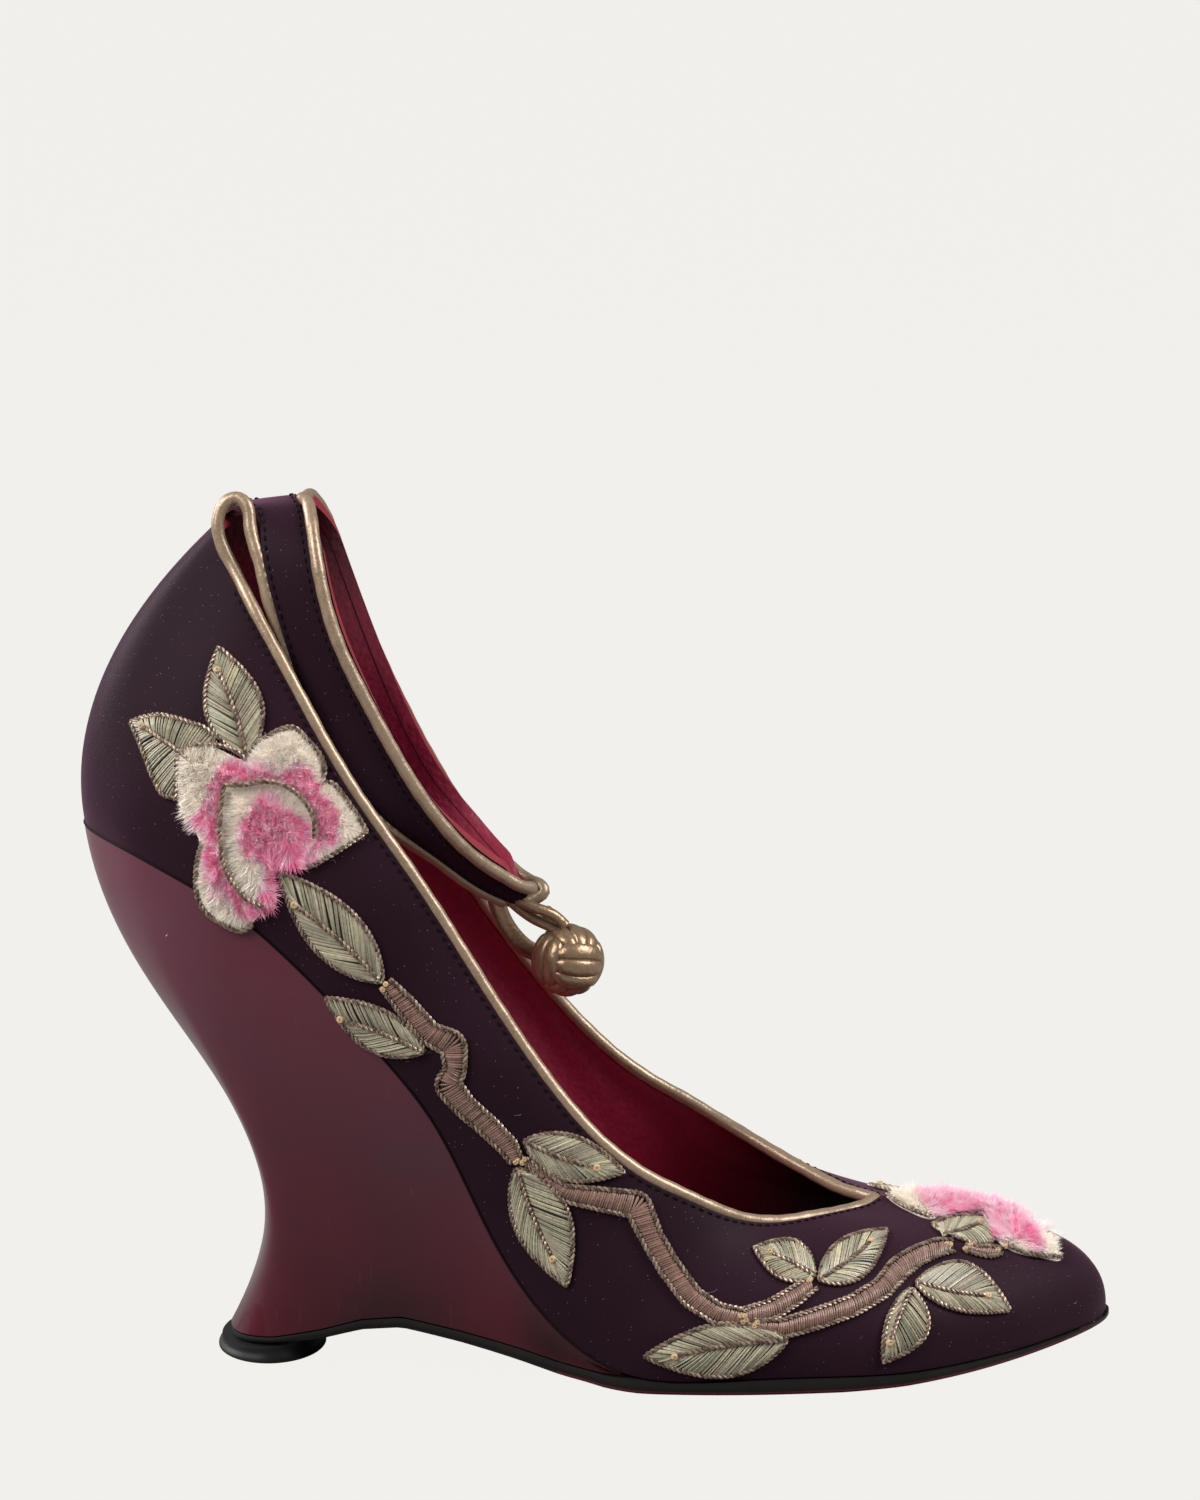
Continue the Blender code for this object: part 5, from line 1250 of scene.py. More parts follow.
cordLook = {"strand": 0.29, "apart": 0.28, "pitch": 2.1, "step": 0.3, "height": 0.5, "sides": 6, "flat": 0.8,
            # share of the pale colour, partly the cord's own tone and partly painted glints against painted
            # shade: its middle, its wave along the cord and its unevenness
            "shade": 0.5, "wave": 0.32, "waveRate": 1.7, "uneven": 0.2,
            "dark": tone(84, 62, 53), "paleGlint": tone(192, 170, 150)}
knotLook = {"colour": tone(196, 166, 126), "uneven": (0.8, 1.15), "steps": 32, "halfTurns": 5,
            "drawIn": 0.45, "rise": 0.5, "thread": 0.55, "sides": 6, "across": (0.3, 0.2, 0.9)}
threadLook = {"points": 7, "sides": 5, "taper": 0.75, "lift": 0.05, "radii": (0.8, 1.15)}


def addCord(bundle, line, ray, lift=0.0, kind=1, smooth=True):
    # a two-ply metal cord couched along a line of the drawing
    spots = evenPoints(line, cordLook["step"], smooth)
    places, outs = carry(spots, ray)
    path = places + outs * (cordLook["height"] + lift)
    ahead = unit(np.gradient(path, axis=0))
    side = unit(np.cross(outs, ahead))
    over = np.cross(ahead, side)
    along = runLength(path)
    phase = 2 * math.pi * along / cordLook["pitch"] + dice.uniform(0, 6.28)
    for ply in (0.0, math.pi):
        turn = (phase + ply)[:, None]
        strand = path + cordLook["apart"] * (np.cos(turn) * side + cordLook["flat"] * np.sin(turn) * over)
        points, faceSets = tube(strand, over, cordLook["strand"], cordLook["sides"])
        # painted glints and shade: the two plies turn paler and darker in turn along the cord
        share = cordLook["shade"] + cordLook["wave"] * np.sin(along * cordLook["waveRate"] + ply)
        share = np.clip(share + dice.normal(0, cordLook["uneven"], len(along)), 0, 1)[:, None]
        tint = blend(cordLook["dark"], cordLook["paleGlint"], share)
        bundle.add(points, faceSets, kind, np.repeat(tint, cordLook["sides"], axis=0))


def addKnot(bundle, spot, ray, size=0.55, kind=2, lift=0.75):
    # a small coil of beige thread
    place, out = carry([spot], ray)
    place, out = place[0], out[0]
    side = unit(np.cross(out, knotLook["across"]))
    other = np.cross(out, side)
    share = np.linspace(0, 1, knotLook["steps"])
    turn = knotLook["halfTurns"] * math.pi * share + dice.uniform(0, 6.28)
    radius = size * (1 - knotLook["drawIn"] * share)
    path = (place + out * (lift + knotLook["rise"] * share)[:, None]
            + radius[:, None] * (np.cos(turn)[:, None] * side + np.sin(turn)[:, None] * other))
    tint = np.array(knotLook["colour"]) * dice.uniform(*knotLook["uneven"])
    bundle.add(*tube(path, np.broadcast_to(out, path.shape), size * knotLook["thread"], knotLook["sides"]),
               kind=kind, tint=tint)


def addThreads(bundle, starts, ends, ray, radius, lowHeight, highHeight, tints, kind=0, peak=0.9):
    # laid threads of satin stitch from each start to its end, rounded over the padding
    count, size = len(starts), threadLook["points"]
    share = np.linspace(0.0, 1.0, size)
    spots = starts[:, None] + (ends - starts)[:, None] * share[None, :, None]
    places, outs = carry(spots.reshape(-1, 2), ray)
    places, outs = places.reshape(count, size, 3), outs.reshape(count, size, 3)
    height = lowHeight + (highHeight - lowHeight) * np.sin(math.pi * share ** peak)
    height = height[None, :] + dice.normal(0, threadLook["lift"], (count, 1))
    paths = places + outs * height[..., None]
    taper = np.ones(size)
    taper[[0, -1]] = threadLook["taper"]
    radii = radius * dice.uniform(*threadLook["radii"], (count, 1)) * taper[None]
    points, faceSets = sweep(paths, outs, radii, threadLook["sides"])
    bundle.add(points, faceSets, kind, np.repeat(tints, size * threadLook["sides"], axis=0))


leafSpec = {
    "rows": (       # name, base a b, tip a b, half width to the left and right, end of the midrib
        ("leaf_heel_top", -70.6, -1.4, -76.2, 20.8, 5.9, 5.8, (-76.2, 15.8)),
        ("leaf_quarter", -43.4, -46.4, -64.4, -24.1, 5.6, 5.4, (-61.0, -30.8)),
        ("leaf_seam", -34.8, -60.2, -55.2, -49.2, 5.2, 3.6, (-51.8, -53.6)),
        ("leaf_waist_front", -15.2, -78.0, 5.0, -84.6, 4.1, 5.2, (-0.8, -83.6)),
        ("leaf_waist_low", -16.6, -83.2, -6.4, -107.4, 6.3, 5.2, (-9.2, -101.6)),
        ("leaf_fork_back", 43.0, -105.6, 30.4, -99.6, 3.4, 5.0, (33.6, -101.0)),
        ("leaf_fork_front", 43.6, -106.4, 57.6, -96.0, 4.0, 4.8, (54.0, -99.0)),
        ("leaf_sole", 37.6, -117.8, 8.6, -121.2, 6.0, 4.9, (15.0, -121.0)),
        ("leaf_toe_front", 62.8, -106.8, 82.0, -112.2, 6.8, 3.0, (77.0, -109.4)),
        ("leaf_toe_low", 62.2, -107.6, 56.4, -122.6, 6.2, 2.5, (57.6, -118.4)),
        ("leaf_throat_inner", 65.4, 10.0, 54.6, 13.6, 2.6, 2.6, (57.0, 12.8)),
    ),
    # leaves that a flower covers in part: the edge on each side from base to tip, and the midrib
    "tucked": {
        "leaf_heel_back": (
            ((-79.6, -5.2), (-83.0, -8.6), (-86.5, -9.3), (-89.0, -6.0), (-91.6, 0.8), (-93.6, 5.6)),
            ((-79.6, -5.2), (-77.0, -1.0), (-77.2, 2.8), (-82.8, 5.8), (-88.4, 7.0), (-93.6, 5.6)),
            ((-81.0, -2.6), (-84.6, 0.2), (-91.0, 4.6)),
        ),
        "leaf_toe_bud": (
            ((66.4, -95.2), (68.1, -96.5), (72.0, -98.0), (76.3, -99.3), (78.4, -98.3), (78.8, -96.6)),
            ((66.4, -95.2), (68.4, -94.2), (70.8, -93.6), (74.5, -93.4), (77.6, -94.1), (78.8, -96.6)),
            ((68.6, -97.6), (71.4, -96.8), (75.8, -95.2)),
        ),
    },
    "pitch": 0.52, "radius": 0.235, "slant": 0.30, "inset": 0.3, "steps": 40, "heights": (0.42, 0.88),
    "tipInset": 1.4, "bow": (0.85, 0.9), "ribBow": 0.03, "ribStart": 0.05, "ribStep": 0.4, "sideStep": 0.5,
    "pad": (0.18, 0.3, 1.5, 1.4), "ribLift": 0.42, "knotLift": 0.95,
    # threads: the shares of an edge and of the midrib that they take up, and their unevenness
    "edgeShares": (0.05, 0.995), "edgeLimits": (0.03, 0.998), "edgeUneven": 0.004,
    "ribShare": 0.98, "ribUneven": 0.012, "shorter": 0.25,
    "shade": 0.2, "wave": 0.14, "waveRate": 17.0, "hue": 0.03, "tints": (0.02, 0.9),
    # ground: the pad under the threads, a darkened copy of their colour, painted shade in the gaps between
    # them
    "colour": tone(164, 157, 133), "ground": tone(40, 36, 29),
}


def leafSides(row, inset):
    base, tip = np.array(row[1:3]), np.array(row[3:5])
    axis = tip - base
    left = unit(np.array((-axis[1], axis[0])))
    way = unit(axis)
    base, tip = base + way * inset, tip - way * inset * leafSpec["tipInset"]
    share = np.linspace(0.0, 1.0, leafSpec["steps"] + 1)[:, None]
    early, full = leafSpec["bow"]           # widest before the middle
    bow = np.sin(math.pi * share ** early) ** full
    middle = base + share * (tip - base)
    return middle - bow * (row[6] - inset) * left, middle + bow * (row[5] - inset) * left


def makeLeaf(name, sides, rib, ray):
    bundle = Bundle()
    outline = np.vstack([sides[0][:-1], sides[1][:0:-1]])
    # the pad's dark ground colour is painted shade between the threads
    addPad(bundle, outline, ray, leafSpec["pad"], 3, leafSpec["ground"])
    ribKnots = runLength(rib)
    for side in sides:
        knots = runLength(side)
        count = int(knots[-1] / leafSpec["pitch"])
        share = np.linspace(*leafSpec["edgeShares"], count) + dice.normal(0, leafSpec["edgeUneven"], count)
        share = np.clip(share, *leafSpec["edgeLimits"])
        ends = alongLine(share * knots[-1], knots, side)
        inner = (share - leafSpec["slant"]) / (leafSpec["ribShare"] - leafSpec["slant"])
        inner = np.clip(np.clip(inner, 0.0, 1.0) + dice.normal(0, leafSpec["ribUneven"], count), 0.0, 1.0)
        starts = alongLine(inner * ribKnots[-1], ribKnots, rib)
        wave = 1 + leafSpec["wave"] * np.sin(share * leafSpec["waveRate"])
        shade = dice.normal(1.0, leafSpec["shade"], (count, 1)) * wave[:, None]
        tints = np.array(leafSpec["colour"]) * shade * (1 + dice.normal(0, leafSpec["hue"], (count, 3)))
        addThreads(bundle, starts, ends - leafSpec["shorter"] * unit(ends - starts), ray,
                   leafSpec["radius"], *leafSpec["heights"], np.clip(tints, *leafSpec["tints"]))
    addCord(bundle, np.vstack([outline, outline[:1]]), ray, smooth=False)
    addCord(bundle, rib, ray, lift=leafSpec["ribLift"])
    addKnot(bundle, rib[-1], ray, lift=leafSpec["knotLift"])
    return bundle.make(name, [silk, metalCord, silk, silk], [name])


def makeLeaves():
    for row in leafSpec["rows"]:
        ray = planRay if row[0] == "leaf_throat_inner" else drawingRay
        base, end = np.array(row[1:3]), np.array(row[7])
        middle = (base + end) / 2 + leafSpec["ribBow"] * np.array((end[1] - base[1], base[0] - end[0]))
        rib = evenPoints([base + leafSpec["ribStart"] * (end - base), middle, end], leafSpec["ribStep"])
        makeLeaf(row[0], leafSides(row, leafSpec["inset"]), rib, ray)
    for name, (one, other, rib) in leafSpec["tucked"].items():
        sides = [evenPoints(side, leafSpec["sideStep"]) for side in (one, other)]
        for side in sides:
            side[-1] = one[-1]
        makeLeaf(name, sides, evenPoints(rib, leafSpec["ribStep"]), drawingRay)


makeLeaves()
print("leaves stitched")

twigSpec = {
    "rows": {       # a, b and half width along each twig
        "twig_waist": ((-43.0, -46.4, 1.3), (-39.2, -50.6, 1.9), (-34.0, -56.6, 2.1), (-29.4, -58.8, 2.6),
                       (-28.8, -63.6, 2.0), (-30.4, -66.8, 2.5), (-27.0, -71.0, 2.1), (-22.2, -75.2, 2.0),
                       (-18.2, -79.2, 1.8), (-16.2, -82.6, 1.3)),
        "twig_vamp": ((-15.0, -81.8, 0.6), (-11.0, -85.4, 0.7), (-6.8, -88.6, 1.7), (0.8, -89.9, 2.2),
                      (7.4, -91.0, 2.6), (10.2, -97.4, 2.1), (13.6, -103.2, 2.1), (18.2, -109.4, 2.1),
                      (23.4, -112.8, 2.0), (29.8, -114.0, 1.8)),
        "twig_fork": ((28.6, -113.6, 1.8), (34.4, -112.0, 1.9), (38.8, -109.4, 1.8), (42.8, -106.6, 1.4)),
        "twig_toe": ((30.4, -115.2, 1.4), (36.2, -115.8, 1.8), (43.4, -113.7, 1.9), (50.6, -111.2, 1.9),
                     (56.4, -107.8, 2.0), (59.6, -104.0, 2.2), (63.0, -101.6, 1.9), (67.4, -99.8, 1.7),
                     (70.8, -99.4, 1.2)),
        "bract_toe": ((72.6, -99.8, 0.7), (75.6, -100.5, 0.9), (78.2, -100.6, 1.2), (80.6, -100.4, 0.5)),
    },
    "pitch": 0.46, "radius": 0.24, "slant": 0.5, "cordInset": 0.1, "threadInset": 0.6, "bend": 7,
    "step": 0.25, "thinnest": (0.3, 0.5), "pad": (0.2, 0.3, 1.0, 1.4), "padEvery": 5, "cordEvery": 4,
    "heights": (0.42, 0.85), "ends": (0.3, 0.6), "slantUneven": 0.05, "shade": 0.12, "tints": (0.02, 0.8),
    "knots": 2, "knotInset": 0.3, "knotSpread": 0.5, "knotSize": 0.42, "knotLift": 0.6,
    # ground: the pad under the threads, a darkened copy of their colour, painted shade in the gaps between
    # them
    "colour": tone(138, 105, 92), "ground": tone(52, 37, 33),
}


def makeTwig(name, rows):
    bundle = Bundle()
    rows = np.array(rows)
    line = evenPoints(rows, twigSpec["step"], smooth=False)
    wide = twigSpec["bend"]                 # corners are rounded over this many points
    padded = np.vstack([line[:1]] * (wide // 2) + [line] + [line[-1:]] * (wide // 2))
    line = np.mean([padded[i:i + len(line)] for i in range(wide)], axis=0)
    along = unit(np.gradient(line[:, :2], axis=0))
    left = np.stack([-along[:, 1], along[:, 0]], 1)
    thin = np.maximum(line[:, 2:3] - twigSpec["threadInset"], twigSpec["thinnest"][0])
    one, other = line[:, :2] - left * thin, line[:, :2] + left * thin
    coarse = slice(None, None, twigSpec["padEvery"])
    # the pad's dark ground colour is painted shade between the threads
    addPad(bundle, np.vstack([one[coarse], other[coarse][::-1]]), drawingRay, twigSpec["pad"], 3,
           twigSpec["ground"])
    run = runLength(line[:, :2])
    at = np.arange(twigSpec["ends"][0], run[-1] - twigSpec["ends"][1], twigSpec["pitch"])
    shift = twigSpec["slant"] + dice.normal(0, twigSpec["slantUneven"], len(at))
    starts = alongLine(at, run, one)
    ends = alongLine(np.minimum(at + shift, run[-1]), run, other)
    tints = np.array(twigSpec["colour"]) * dice.normal(1.0, twigSpec["shade"], (len(at), 1))
    addThreads(bundle, starts, ends, drawingRay, twigSpec["radius"], *twigSpec["heights"],
               np.clip(tints, *twigSpec["tints"]), peak=1.0)
    wide = np.maximum(line[:, 2:3] - twigSpec["cordInset"], twigSpec["thinnest"][1])
    for sign in (-1, 1):
        addCord(bundle, (line[:, :2] + sign * left * wide)[::twigSpec["cordEvery"]], drawingRay)
    for end, inward in ((line[0, :2], along[0]), (line[-1, :2], -along[-1])):
        for _ in range(twigSpec["knots"]):
            spot = end + inward * twigSpec["knotInset"] + dice.normal(0, twigSpec["knotSpread"], 2)
            addKnot(bundle, spot, drawingRay, size=twigSpec["knotSize"], lift=twigSpec["knotLift"])
    return bundle.make(name, [silk, metalCord, silk, silk], [name])


for twigName, twigRows in twigSpec["rows"].items():
    makeTwig(twigName, twigRows)
print("twigs stitched")


# flowers of cut pile inside couched outlines
flowerSpec = {
    "heel": {
        "outline": ((-85.0, -4.4), (-84.0, 0.2), (-80.6, 0.8), (-76.2, 0.2), (-71.0, -1.8), (-68.0, 2.2),
                    (-64.0, 3.6), (-60.6, 4.2), (-58.4, 2.2), (-55.8, -2.2), (-55.4, -5.4), (-52.4, -7.8),
                    (-49.4, -12.2), (-47.0, -16.2), (-52.0, -20.0), (-60.0, -23.8), (-66.4, -21.6),
                    (-64.8, -29.0), (-65.4, -32.0), (-67.2, -32.2), (-68.8, -33.8), (-71.2, -35.6),
                    (-75.4, -34.6), (-78.4, -32.0), (-80.4, -28.2), (-80.6, -23.8), (-79.8, -19.6),
                    (-81.8, -14.4), (-84.0, -10.8)),
        "cords": (
            ((-84.6, -10.0), (-84.4, -5.2), (-83.4, -0.2), (-80.2, 1.0), (-75.8, 0.8), (-72.2, -0.6),
             (-70.8, -2.0)),
            ((-68.8, 1.4), (-66.0, 3.0), (-61.2, 4.4), (-59.2, 2.6), (-56.4, -0.6), (-55.2, -3.6),
             (-56.0, -7.2)),
            ((-57.0, -7.2), (-54.0, -6.6), (-51.4, -9.2), (-48.6, -13.2), (-46.8, -16.4)),
            ((-46.8, -16.4), (-50.6, -19.0), (-54.4, -21.4), (-58.4, -23.4)),
            ((-79.2, -18.2), (-80.2, -21.4), (-80.6, -25.4), (-80.2, -29.4), (-78.6, -32.2), (-74.6, -35.0),
             (-71.4, -36.0), (-69.2, -34.6)),
        ),
        "inner": ((-74.6, -6.8), (-70.8, -7.0), (-66.0, -6.4), (-62.4, -7.6), (-59.2, -10.4),
                  (-57.4, -14.0), (-57.2, -17.6), (-59.2, -21.0), (-60.4, -24.2), (-65.6, -22.4),
                  (-64.6, -26.0), (-64.6, -29.8), (-66.8, -30.6), (-70.0, -29.2), (-72.2, -27.0),
                  (-74.4, -23.4), (-75.4, -17.6), (-75.4, -11.6)),
        "innerCords": (
            ((-75.4, -11.6), (-75.4, -17.6), (-74.4, -23.4), (-72.2, -27.0), (-70.0, -29.2),
             (-66.8, -30.6)),
            ((-75.4, -11.6), (-74.8, -7.4)),
            ((-74.8, -7.0), (-70.8, -7.0), (-66.0, -6.4), (-62.4, -7.6), (-59.2, -10.4), (-57.4, -14.0),
             (-57.2, -17.6)),
        ),
        "heart": (-65.4, -16.8), "tail": ((-64.0, -20.0), (-60.6, -23.0)),
        "drop": ((-66.8, -21.0), (-65.8, -28.6)),
        # where pink ends: outside the inner petal, in its heart, tail and drop
        "wander": 9.0, "band": (2.2, 5.2), "bandWander": 1.6, "bandEdge": (-0.2, 0.6),
        "heartTurn": (0.8, 0.6), "heartShape": (0.9, 1.05), "heartReach": (5.0, 7.4),
        "tailReach": (1.6, 3.6), "dropReach": (1.2, 2.6),
    },
    "toe": {
        "outline": ((58.0, 1.2), (60.0, -2.0), (62.7, -4.4), (66.4, -6.0), (69.0, -3.4), (71.6, -1.2),
                    (75.5, 1.5), (77.6, 1.6), (79.4, 0.6), (79.6, -3.6), (79.4, -7.0), (81.4, -9.0),
                    (85.1, -8.8), (89.0, -6.7), (93.0, -3.6), (91.4, -1.2), (88.4, 1.2), (87.0, 4.6),
                    (87.4, 9.4), (85.2, 13.8), (80.6, 14.4), (77.6, 18.6), (71.0, 19.4), (66.8, 16.0),
                    (67.0, 9.6), (62.0, 5.0)),
        "cords": (
            ((58.0, 1.2), (60.0, -2.0), (62.7, -4.4), (66.4, -6.0)),
            ((82.0, -9.0), (85.1, -8.8), (89.0, -6.7), (93.0, -3.6)),
            ((87.0, 4.6), (87.4, 9.4), (85.2, 13.8), (80.6, 14.4), (77.6, 18.6), (71.0, 19.4),
             (66.8, 16.0)),
        ),
        "heart": (75.6, 3.0), "hotSpots": ((73.6, 0.6, 3.0), (85.4, -3.4, 3.4), (70.0, -1.0, 3.4)),
        "long": 1.35, "wander": 8.0, "softWander": 1.5, "softShape": 0.8, "softReach": (9.0, 14.0),
        "softShare": 0.62, "hotShare": 0.95, "hotReach": (0.4, 1.3),
    },
    "fibres": 36000, "length": 2.0, "radius": 0.09, "base": 0.55, "bare": 0.55,
    "cordLift": 0.35, "innerCordLift": 1.75, "step": 0.8, "pad": (0.35, 0.5, 2.5, 1.6),
    # distance from an edge over which strands straighten, and the pitch of tufts, tones and lengths
    "rim": (2.0, 4.0), "innerRim": (2.6, 4.8), "tuftPitch": 2.6, "tonePitch": 2.6, "lengthPitch": 3.2,
    "stray": 0.35, "curl": 0.16, "lengths": (0.7, 1.15), "radii": (0.8, 1.2),
    "blushUneven": 0.10, "shade": (1.02, 0.05), "brightest": 0.97,
    "cream": tone(255, 240, 226), "pink": tone(255, 210, 226), "hot": tone(255, 124, 178),
}


def heelBlush(spots, spec):
    # share of pink: a band outside the inner petal, and its heart
    inner = np.array(spec["inner"])
    within = insidePolygon(spots, inner)
    edge = lineDistance(spots, inner, True)
    wander = ripple(spots, spec["wander"], 3)
    start, end = [limit + spec["bandWander"] * wander for limit in spec["band"]]
    band = (1 - smoothStep(start, end, edge)) * smoothStep(*spec["bandEdge"], edge)
    away = spots - np.array(spec["heart"])
    run, rise = spec["heartTurn"]
    long, wide = away[:, 0] * run - away[:, 1] * rise, away[:, 0] * rise + away[:, 1] * run
    reach = np.hypot(long * spec["heartShape"][0], wide * spec["heartShape"][1])
    start, end = [limit + wander for limit in spec["heartReach"]]
    heart = 1 - smoothStep(start, end, reach)
    tail = 1 - smoothStep(*spec["tailReach"], lineDistance(spots, np.array(spec["tail"])))
    drop = 1 - smoothStep(*spec["dropReach"], lineDistance(spots, np.array(spec["drop"])))
    return np.where(within, np.maximum(np.maximum(heart, tail), drop), band)


def toeBlush(spots, spec):
    # share of pink: soft round the middle, stronger in a few spots
    away = spots - np.array(spec["heart"])
    wander = spec["softWander"] * ripple(spots, spec["wander"], 5)
    soft = np.hypot(away[:, 0], away[:, 1] * spec["softShape"]) + wander
    value = spec["softShare"] * (1 - smoothStep(*spec["softReach"], soft))
    for x, y, reach in spec["hotSpots"]:
        near = np.hypot(spots[:, 0] - x, spots[:, 1] - y)
        start, end = [limit * reach for limit in spec["hotReach"]]
        value = np.maximum(value, spec["hotShare"] * (1 - smoothStep(start, end, near)))
    return value


def awayFrom(spots, outline, step=0.4):
    # the way out to the nearest edge of an outline
    slope = []
    for way in np.array(((step, 0.0), (0.0, step))):
        slope.append(lineDistance(spots + way, outline, True) - lineDistance(spots - way, outline, True))
    return -unit(np.stack(slope, 1))


def fibres(roots, tips, ups, radii):
    # fine three-sided strands, each from a ring at its root to a point
    ahead = unit(tips - roots)
    side = unit(np.cross(ups + 0.01, ahead))
    over = np.cross(ahead, side)
    turn = np.array((0.0, 2.0944, 4.1888))[None, :, None]
    ring = (np.cos(turn) * side[:, None] + np.sin(turn) * over[:, None]) * radii[:, None, None]
    points = np.concatenate([roots[:, None] + ring, tips[:, None]], 1)
    first = np.arange(len(roots))[:, None] * 4
    faces = np.concatenate([first + (0, 1, 3), first + (1, 2, 3), first + (2, 0, 3), first + (2, 1, 0)])
    return points.reshape(-1, 3), [faces]


def makeFlower(name, spec, ray, blush):
    bundle = Bundle()
    outline = evenPoints(np.vstack([spec["outline"], spec["outline"][:1]]), flowerSpec["step"])[:-1]
    area = outline[:, 0] * np.roll(outline[:, 1], -1) - outline[:, 1] * np.roll(outline[:, 0], -1)
    if area.sum() < 0:
        outline = outline[::-1]
    addPad(bundle, outline, ray, flowerSpec["pad"], 0, flowerSpec["cream"])

    # roots of the pile, spread over the petals
    low, high = outline.min(0), outline.max(0)
    spots = dice.uniform(low, high, (flowerSpec["fibres"] * 5 // 2, 2))
    spots = spots[insidePolygon(spots, outline)]
    spots = spots[lineDistance(spots, outline, True) > flowerSpec["bare"]][:flowerSpec["fibres"]]
    count = len(spots)
    edge = lineDistance(spots, outline, True)
    inner = np.array(spec["inner"]) if "inner" in spec else None
    lean = awayFrom(spots, outline)
    rim = 1 - smoothStep(*flowerSpec["rim"], edge)          # straight strands towards the edge
    if inner is not None:
        within = insidePolygon(spots, inner)
        innerEdge = lineDistance(spots, inner, True)
        lean = np.where(within[:, None], awayFrom(spots, inner), lean)
        rim = np.where(within, 1 - smoothStep(*flowerSpec["innerRim"], innerEdge), rim)
    tuft = np.stack([ripple(spots, flowerSpec["tuftPitch"], seed) for seed in (21, 22)], 1)
    lean = unit(lean * (0.35 + 1.4 * rim[:, None]) + tuft * (1 - 0.75 * rim[:, None])
                + dice.normal(0, flowerSpec["stray"], (count, 2)) * (1 - 0.6 * rim[:, None]))
    roots, outs = carry(spots, ray)
    ahead, _ = carry(spots + lean * 0.5, ray)
    lean = unit(ahead - roots)
    lean = unit(lean - outs * (lean * outs).sum(1)[:, None])
    corded = np.min([lineDistance(spots, np.array(line)) for line in spec["cords"]], axis=0)
    free = smoothStep(1.4, 3.0, corded) * (1 - smoothStep(0.8, 3.4, edge))  # loose where no cord holds it
    length = flowerSpec["length"] * spec.get("long", 1.0) * dice.uniform(*flowerSpec["lengths"], count)
    length *= np.maximum(0.4 + 0.6 * smoothStep(0.3, 2.6, edge), free) * (1 + 0.4 * free)
    length *= 1 + 0.2 * ripple(spots, flowerSpec["lengthPitch"], 8)
    if inner is not None:
        length *= np.where(within, 1.15, 1.0) * (1 - 0.45 * (1 - smoothStep(0.3, 1.2, innerEdge)))
    stand = (0.72 - 0.42 * rim)[:, None]                    # how upright a strand is
    base = roots + outs * (flowerSpec["base"] * smoothStep(-0.5, 2.0, edge) + 0.15)[:, None]
    curl = dice.normal(0, flowerSpec["curl"], (count, 3))
    tip = base + length[:, None] * (stand * outs + (1.1 - stand) * lean + curl)
    radii = flowerSpec["radius"] * dice.uniform(*flowerSpec["radii"], count)
    points, faceSets = fibres(base, tip, lean, radii)

    share = np.clip(blush(spots, spec) + dice.normal(0, flowerSpec["blushUneven"], count), 0, 1)
    warm = smoothStep(0.5, 1.15, share + 0.34 * ripple(spots, flowerSpec["tonePitch"], 31))[:, None]
    share = smoothStep(0.1, 0.7, share)[:, None]
    colour = blend(blend(flowerSpec["cream"], flowerSpec["pink"], share), flowerSpec["hot"], warm)
    colour = np.clip(colour * dice.normal(*flowerSpec["shade"], (count, 1)), 0.0, flowerSpec["brightest"])
    bundle.add(points, faceSets, 0, np.repeat(colour, 4, axis=0))
    for line in spec["cords"]:
        addCord(bundle, line, ray, lift=flowerSpec["cordLift"])
    for line in spec.get("innerCords", ()):
        addCord(bundle, line, ray, lift=flowerSpec["innerCordLift"])
    return bundle.make(name, [plush, metalCord], [name])


makeFlower("heel_flower", flowerSpec["heel"], drawingRay, heelBlush)
makeFlower("toe_flower", flowerSpec["toe"], planRay, toeBlush)
print("flowers made")


# a few fine hairs of lint on the satin
lintSpec = {"count": 46, "length": (0.8, 2.4), "radius": 0.026, "sides": 4, "steps": 9, "ups": (0.12, 0.92),
            "upLimits": (0.05, 0.97), "curl": 2.2, "lift": (0.06, 0.25), "colour": tone(112, 102, 110)}


def makeLint():
    count, steps = lintSpec["count"], lintSpec["steps"]
    around = dice.uniform(0.0, ringLength, count)
    up = dice.uniform(*lintSpec["ups"], count)
    turn = dice.uniform(0, 2 * math.pi, count)[:, None]
    turn = turn + np.linspace(0.0, 1.0, steps) * dice.normal(0, lintSpec["curl"], (count, 1))
    step = dice.uniform(*lintSpec["length"], (count, 1)) / steps
    run = np.cumsum(np.cos(turn) * step, axis=1)
    rise = np.cumsum(np.sin(turn) * step, axis=1)
    height = np.linalg.norm(upperPoint(around, 1.0) - upperPoint(around, 0.0), axis=1)[:, None]
    places, ups = around[:, None] + run, np.clip(up[:, None] + rise / height, *lintSpec["upLimits"])
    normals = upperNormal(places, ups)
    low, loop = lintSpec["lift"]
    lift = low + loop * np.sin(np.linspace(0.0, math.pi, steps)) * dice.uniform(0, 1, (count, 1))
    bundle = Bundle()
    bundle.add(*sweep(upperPoint(places, ups) + normals * lift[..., None], normals,
                      np.full((1, steps), lintSpec["radius"]), lintSpec["sides"]),
               tint=lintSpec["colour"])
    return bundle.make("lint", [plush])


makeLint()

# floor, light and camera
stageSpec = {"floor": tone(242, 241, 237), "floorSize": 80.0, "even": 0.985, "world": 0.2,
             "aim": (0.0, 0.0, 0.07), "ground": (0.24, 0.238, 0.233), "air": (1.0, 0.99, 0.975),
             "lights": (     # place in metres, size, power, colour
                 ((-1.45, -0.95, 1.55), 1.5, 58.0, (1.0, 0.98, 0.96)),
                 ((1.5, -0.3, 1.35), 1.2, 44.0, (1.0, 0.99, 0.98)),
                 ((-1.6, 0.8, 0.9), 1.3, 34.0, (0.98, 0.97, 1.0)),
             )}
cameraSpec = {"lens": 132.0, "sensor": 36.0, "far": 200.0}


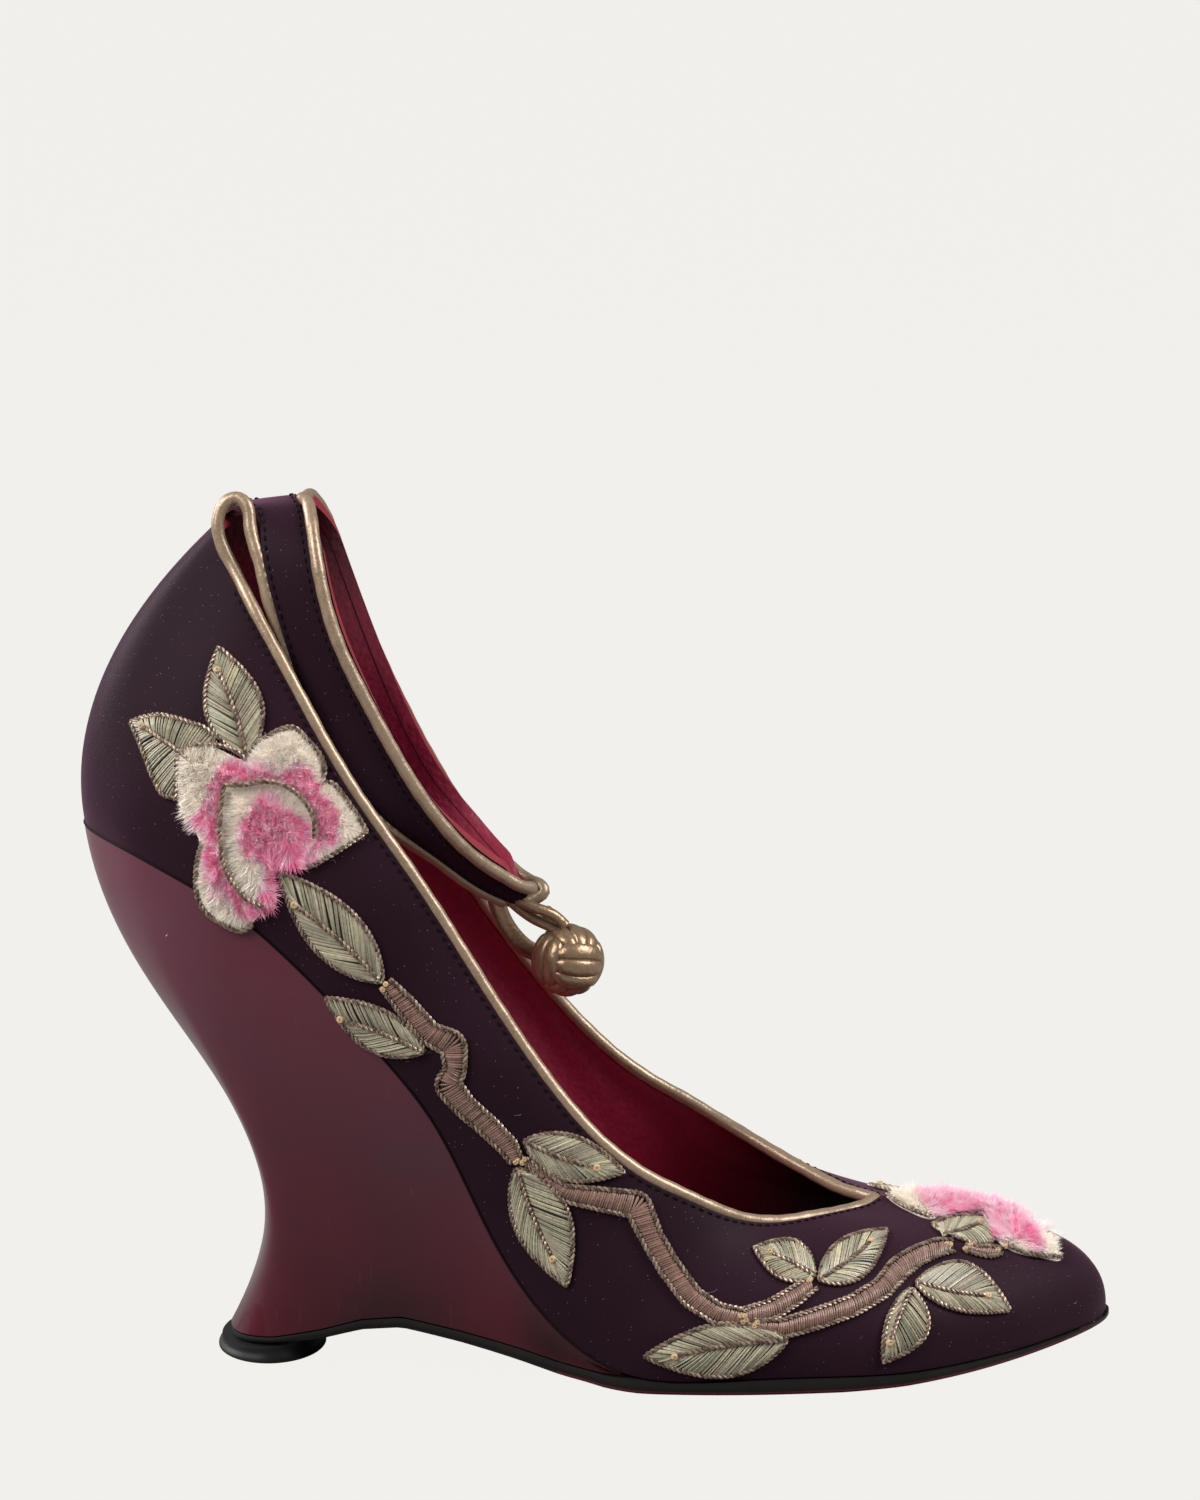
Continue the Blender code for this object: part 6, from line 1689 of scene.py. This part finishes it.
def makeStage():
    half = stageSpec["floorSize"] / 2
    mesh = bpy.data.meshes.new("floor")
    corners = [(-half, -half, 0), (half, -half, 0), (half, half, 0), (-half, half, 0)]
    mesh.from_pydata(corners, [], [(0, 1, 2, 3)])
    floor = bpy.data.objects.new("floor", mesh)
    bpy.context.collection.objects.link(floor)
    material, tree, shader = newMaterial("paleFloor", stageSpec["ground"], 0.9, Specular_IOR_Level=0.0)
    glow = placeNode(tree, "ShaderNodeEmission", (), Color=(*stageSpec["floor"], 1.0), Strength=1.0)
    path = tree.nodes.new("ShaderNodeLightPath")
    part = placeMath(tree, "MULTIPLY", path.outputs["Is Camera Ray"], stageSpec["even"])
    both = placeNode(tree, "ShaderNodeMixShader", (), i0=part, i1=shader.outputs[0], i2=glow.outputs[0])
    tree.links.new(both.outputs[0], tree.nodes["Material Output"].inputs["Surface"])
    mesh.materials.append(material)
    world = bpy.data.worlds.new("studio")
    world.use_nodes = True
    tree = world.node_tree
    soft = tree.nodes["Background"]
    soft.inputs["Color"].default_value = (*stageSpec["air"], 1.0)
    soft.inputs["Strength"].default_value = stageSpec["world"]
    seen = placeNode(tree, "ShaderNodeBackground", (), Color=(*stageSpec["floor"], 1.0), Strength=1.0)
    path = tree.nodes.new("ShaderNodeLightPath")
    both = placeNode(tree, "ShaderNodeMixShader", (), i0=path.outputs["Is Camera Ray"], i1=soft.outputs[0],
                     i2=seen.outputs[0])
    tree.links.new(both.outputs[0], tree.nodes["World Output"].inputs["Surface"])
    bpy.context.scene.world = world
    for i, (place, size, power, colour) in enumerate(stageSpec["lights"]):
        light = bpy.data.lights.new("softbox" + str(i), "AREA")
        light.shape = "DISK"
        light.size = size
        light.energy = power
        light.color = colour
        lamp = bpy.data.objects.new("softbox" + str(i), light)
        lamp.location = place
        aim = Vector(stageSpec["aim"]) - Vector(place)
        lamp.rotation_euler = aim.to_track_quat("-Z", "Y").to_euler()
        bpy.context.collection.objects.link(lamp)


def makeCamera():
    camera = bpy.data.cameras.new("camera")
    camera.lens = cameraSpec["lens"]
    camera.sensor_width = cameraSpec["sensor"]
    camera.clip_end = cameraSpec["far"]
    eye = bpy.data.objects.new("camera", camera)
    eye.location = drawingEye * mm
    eye.rotation_euler = (math.pi / 2 - drawingTilt, 0.0, 0.0)
    bpy.context.collection.objects.link(eye)
    bpy.context.scene.camera = eye
    bpy.context.scene.view_settings.view_transform = "Standard"


makeStage()
makeCamera()
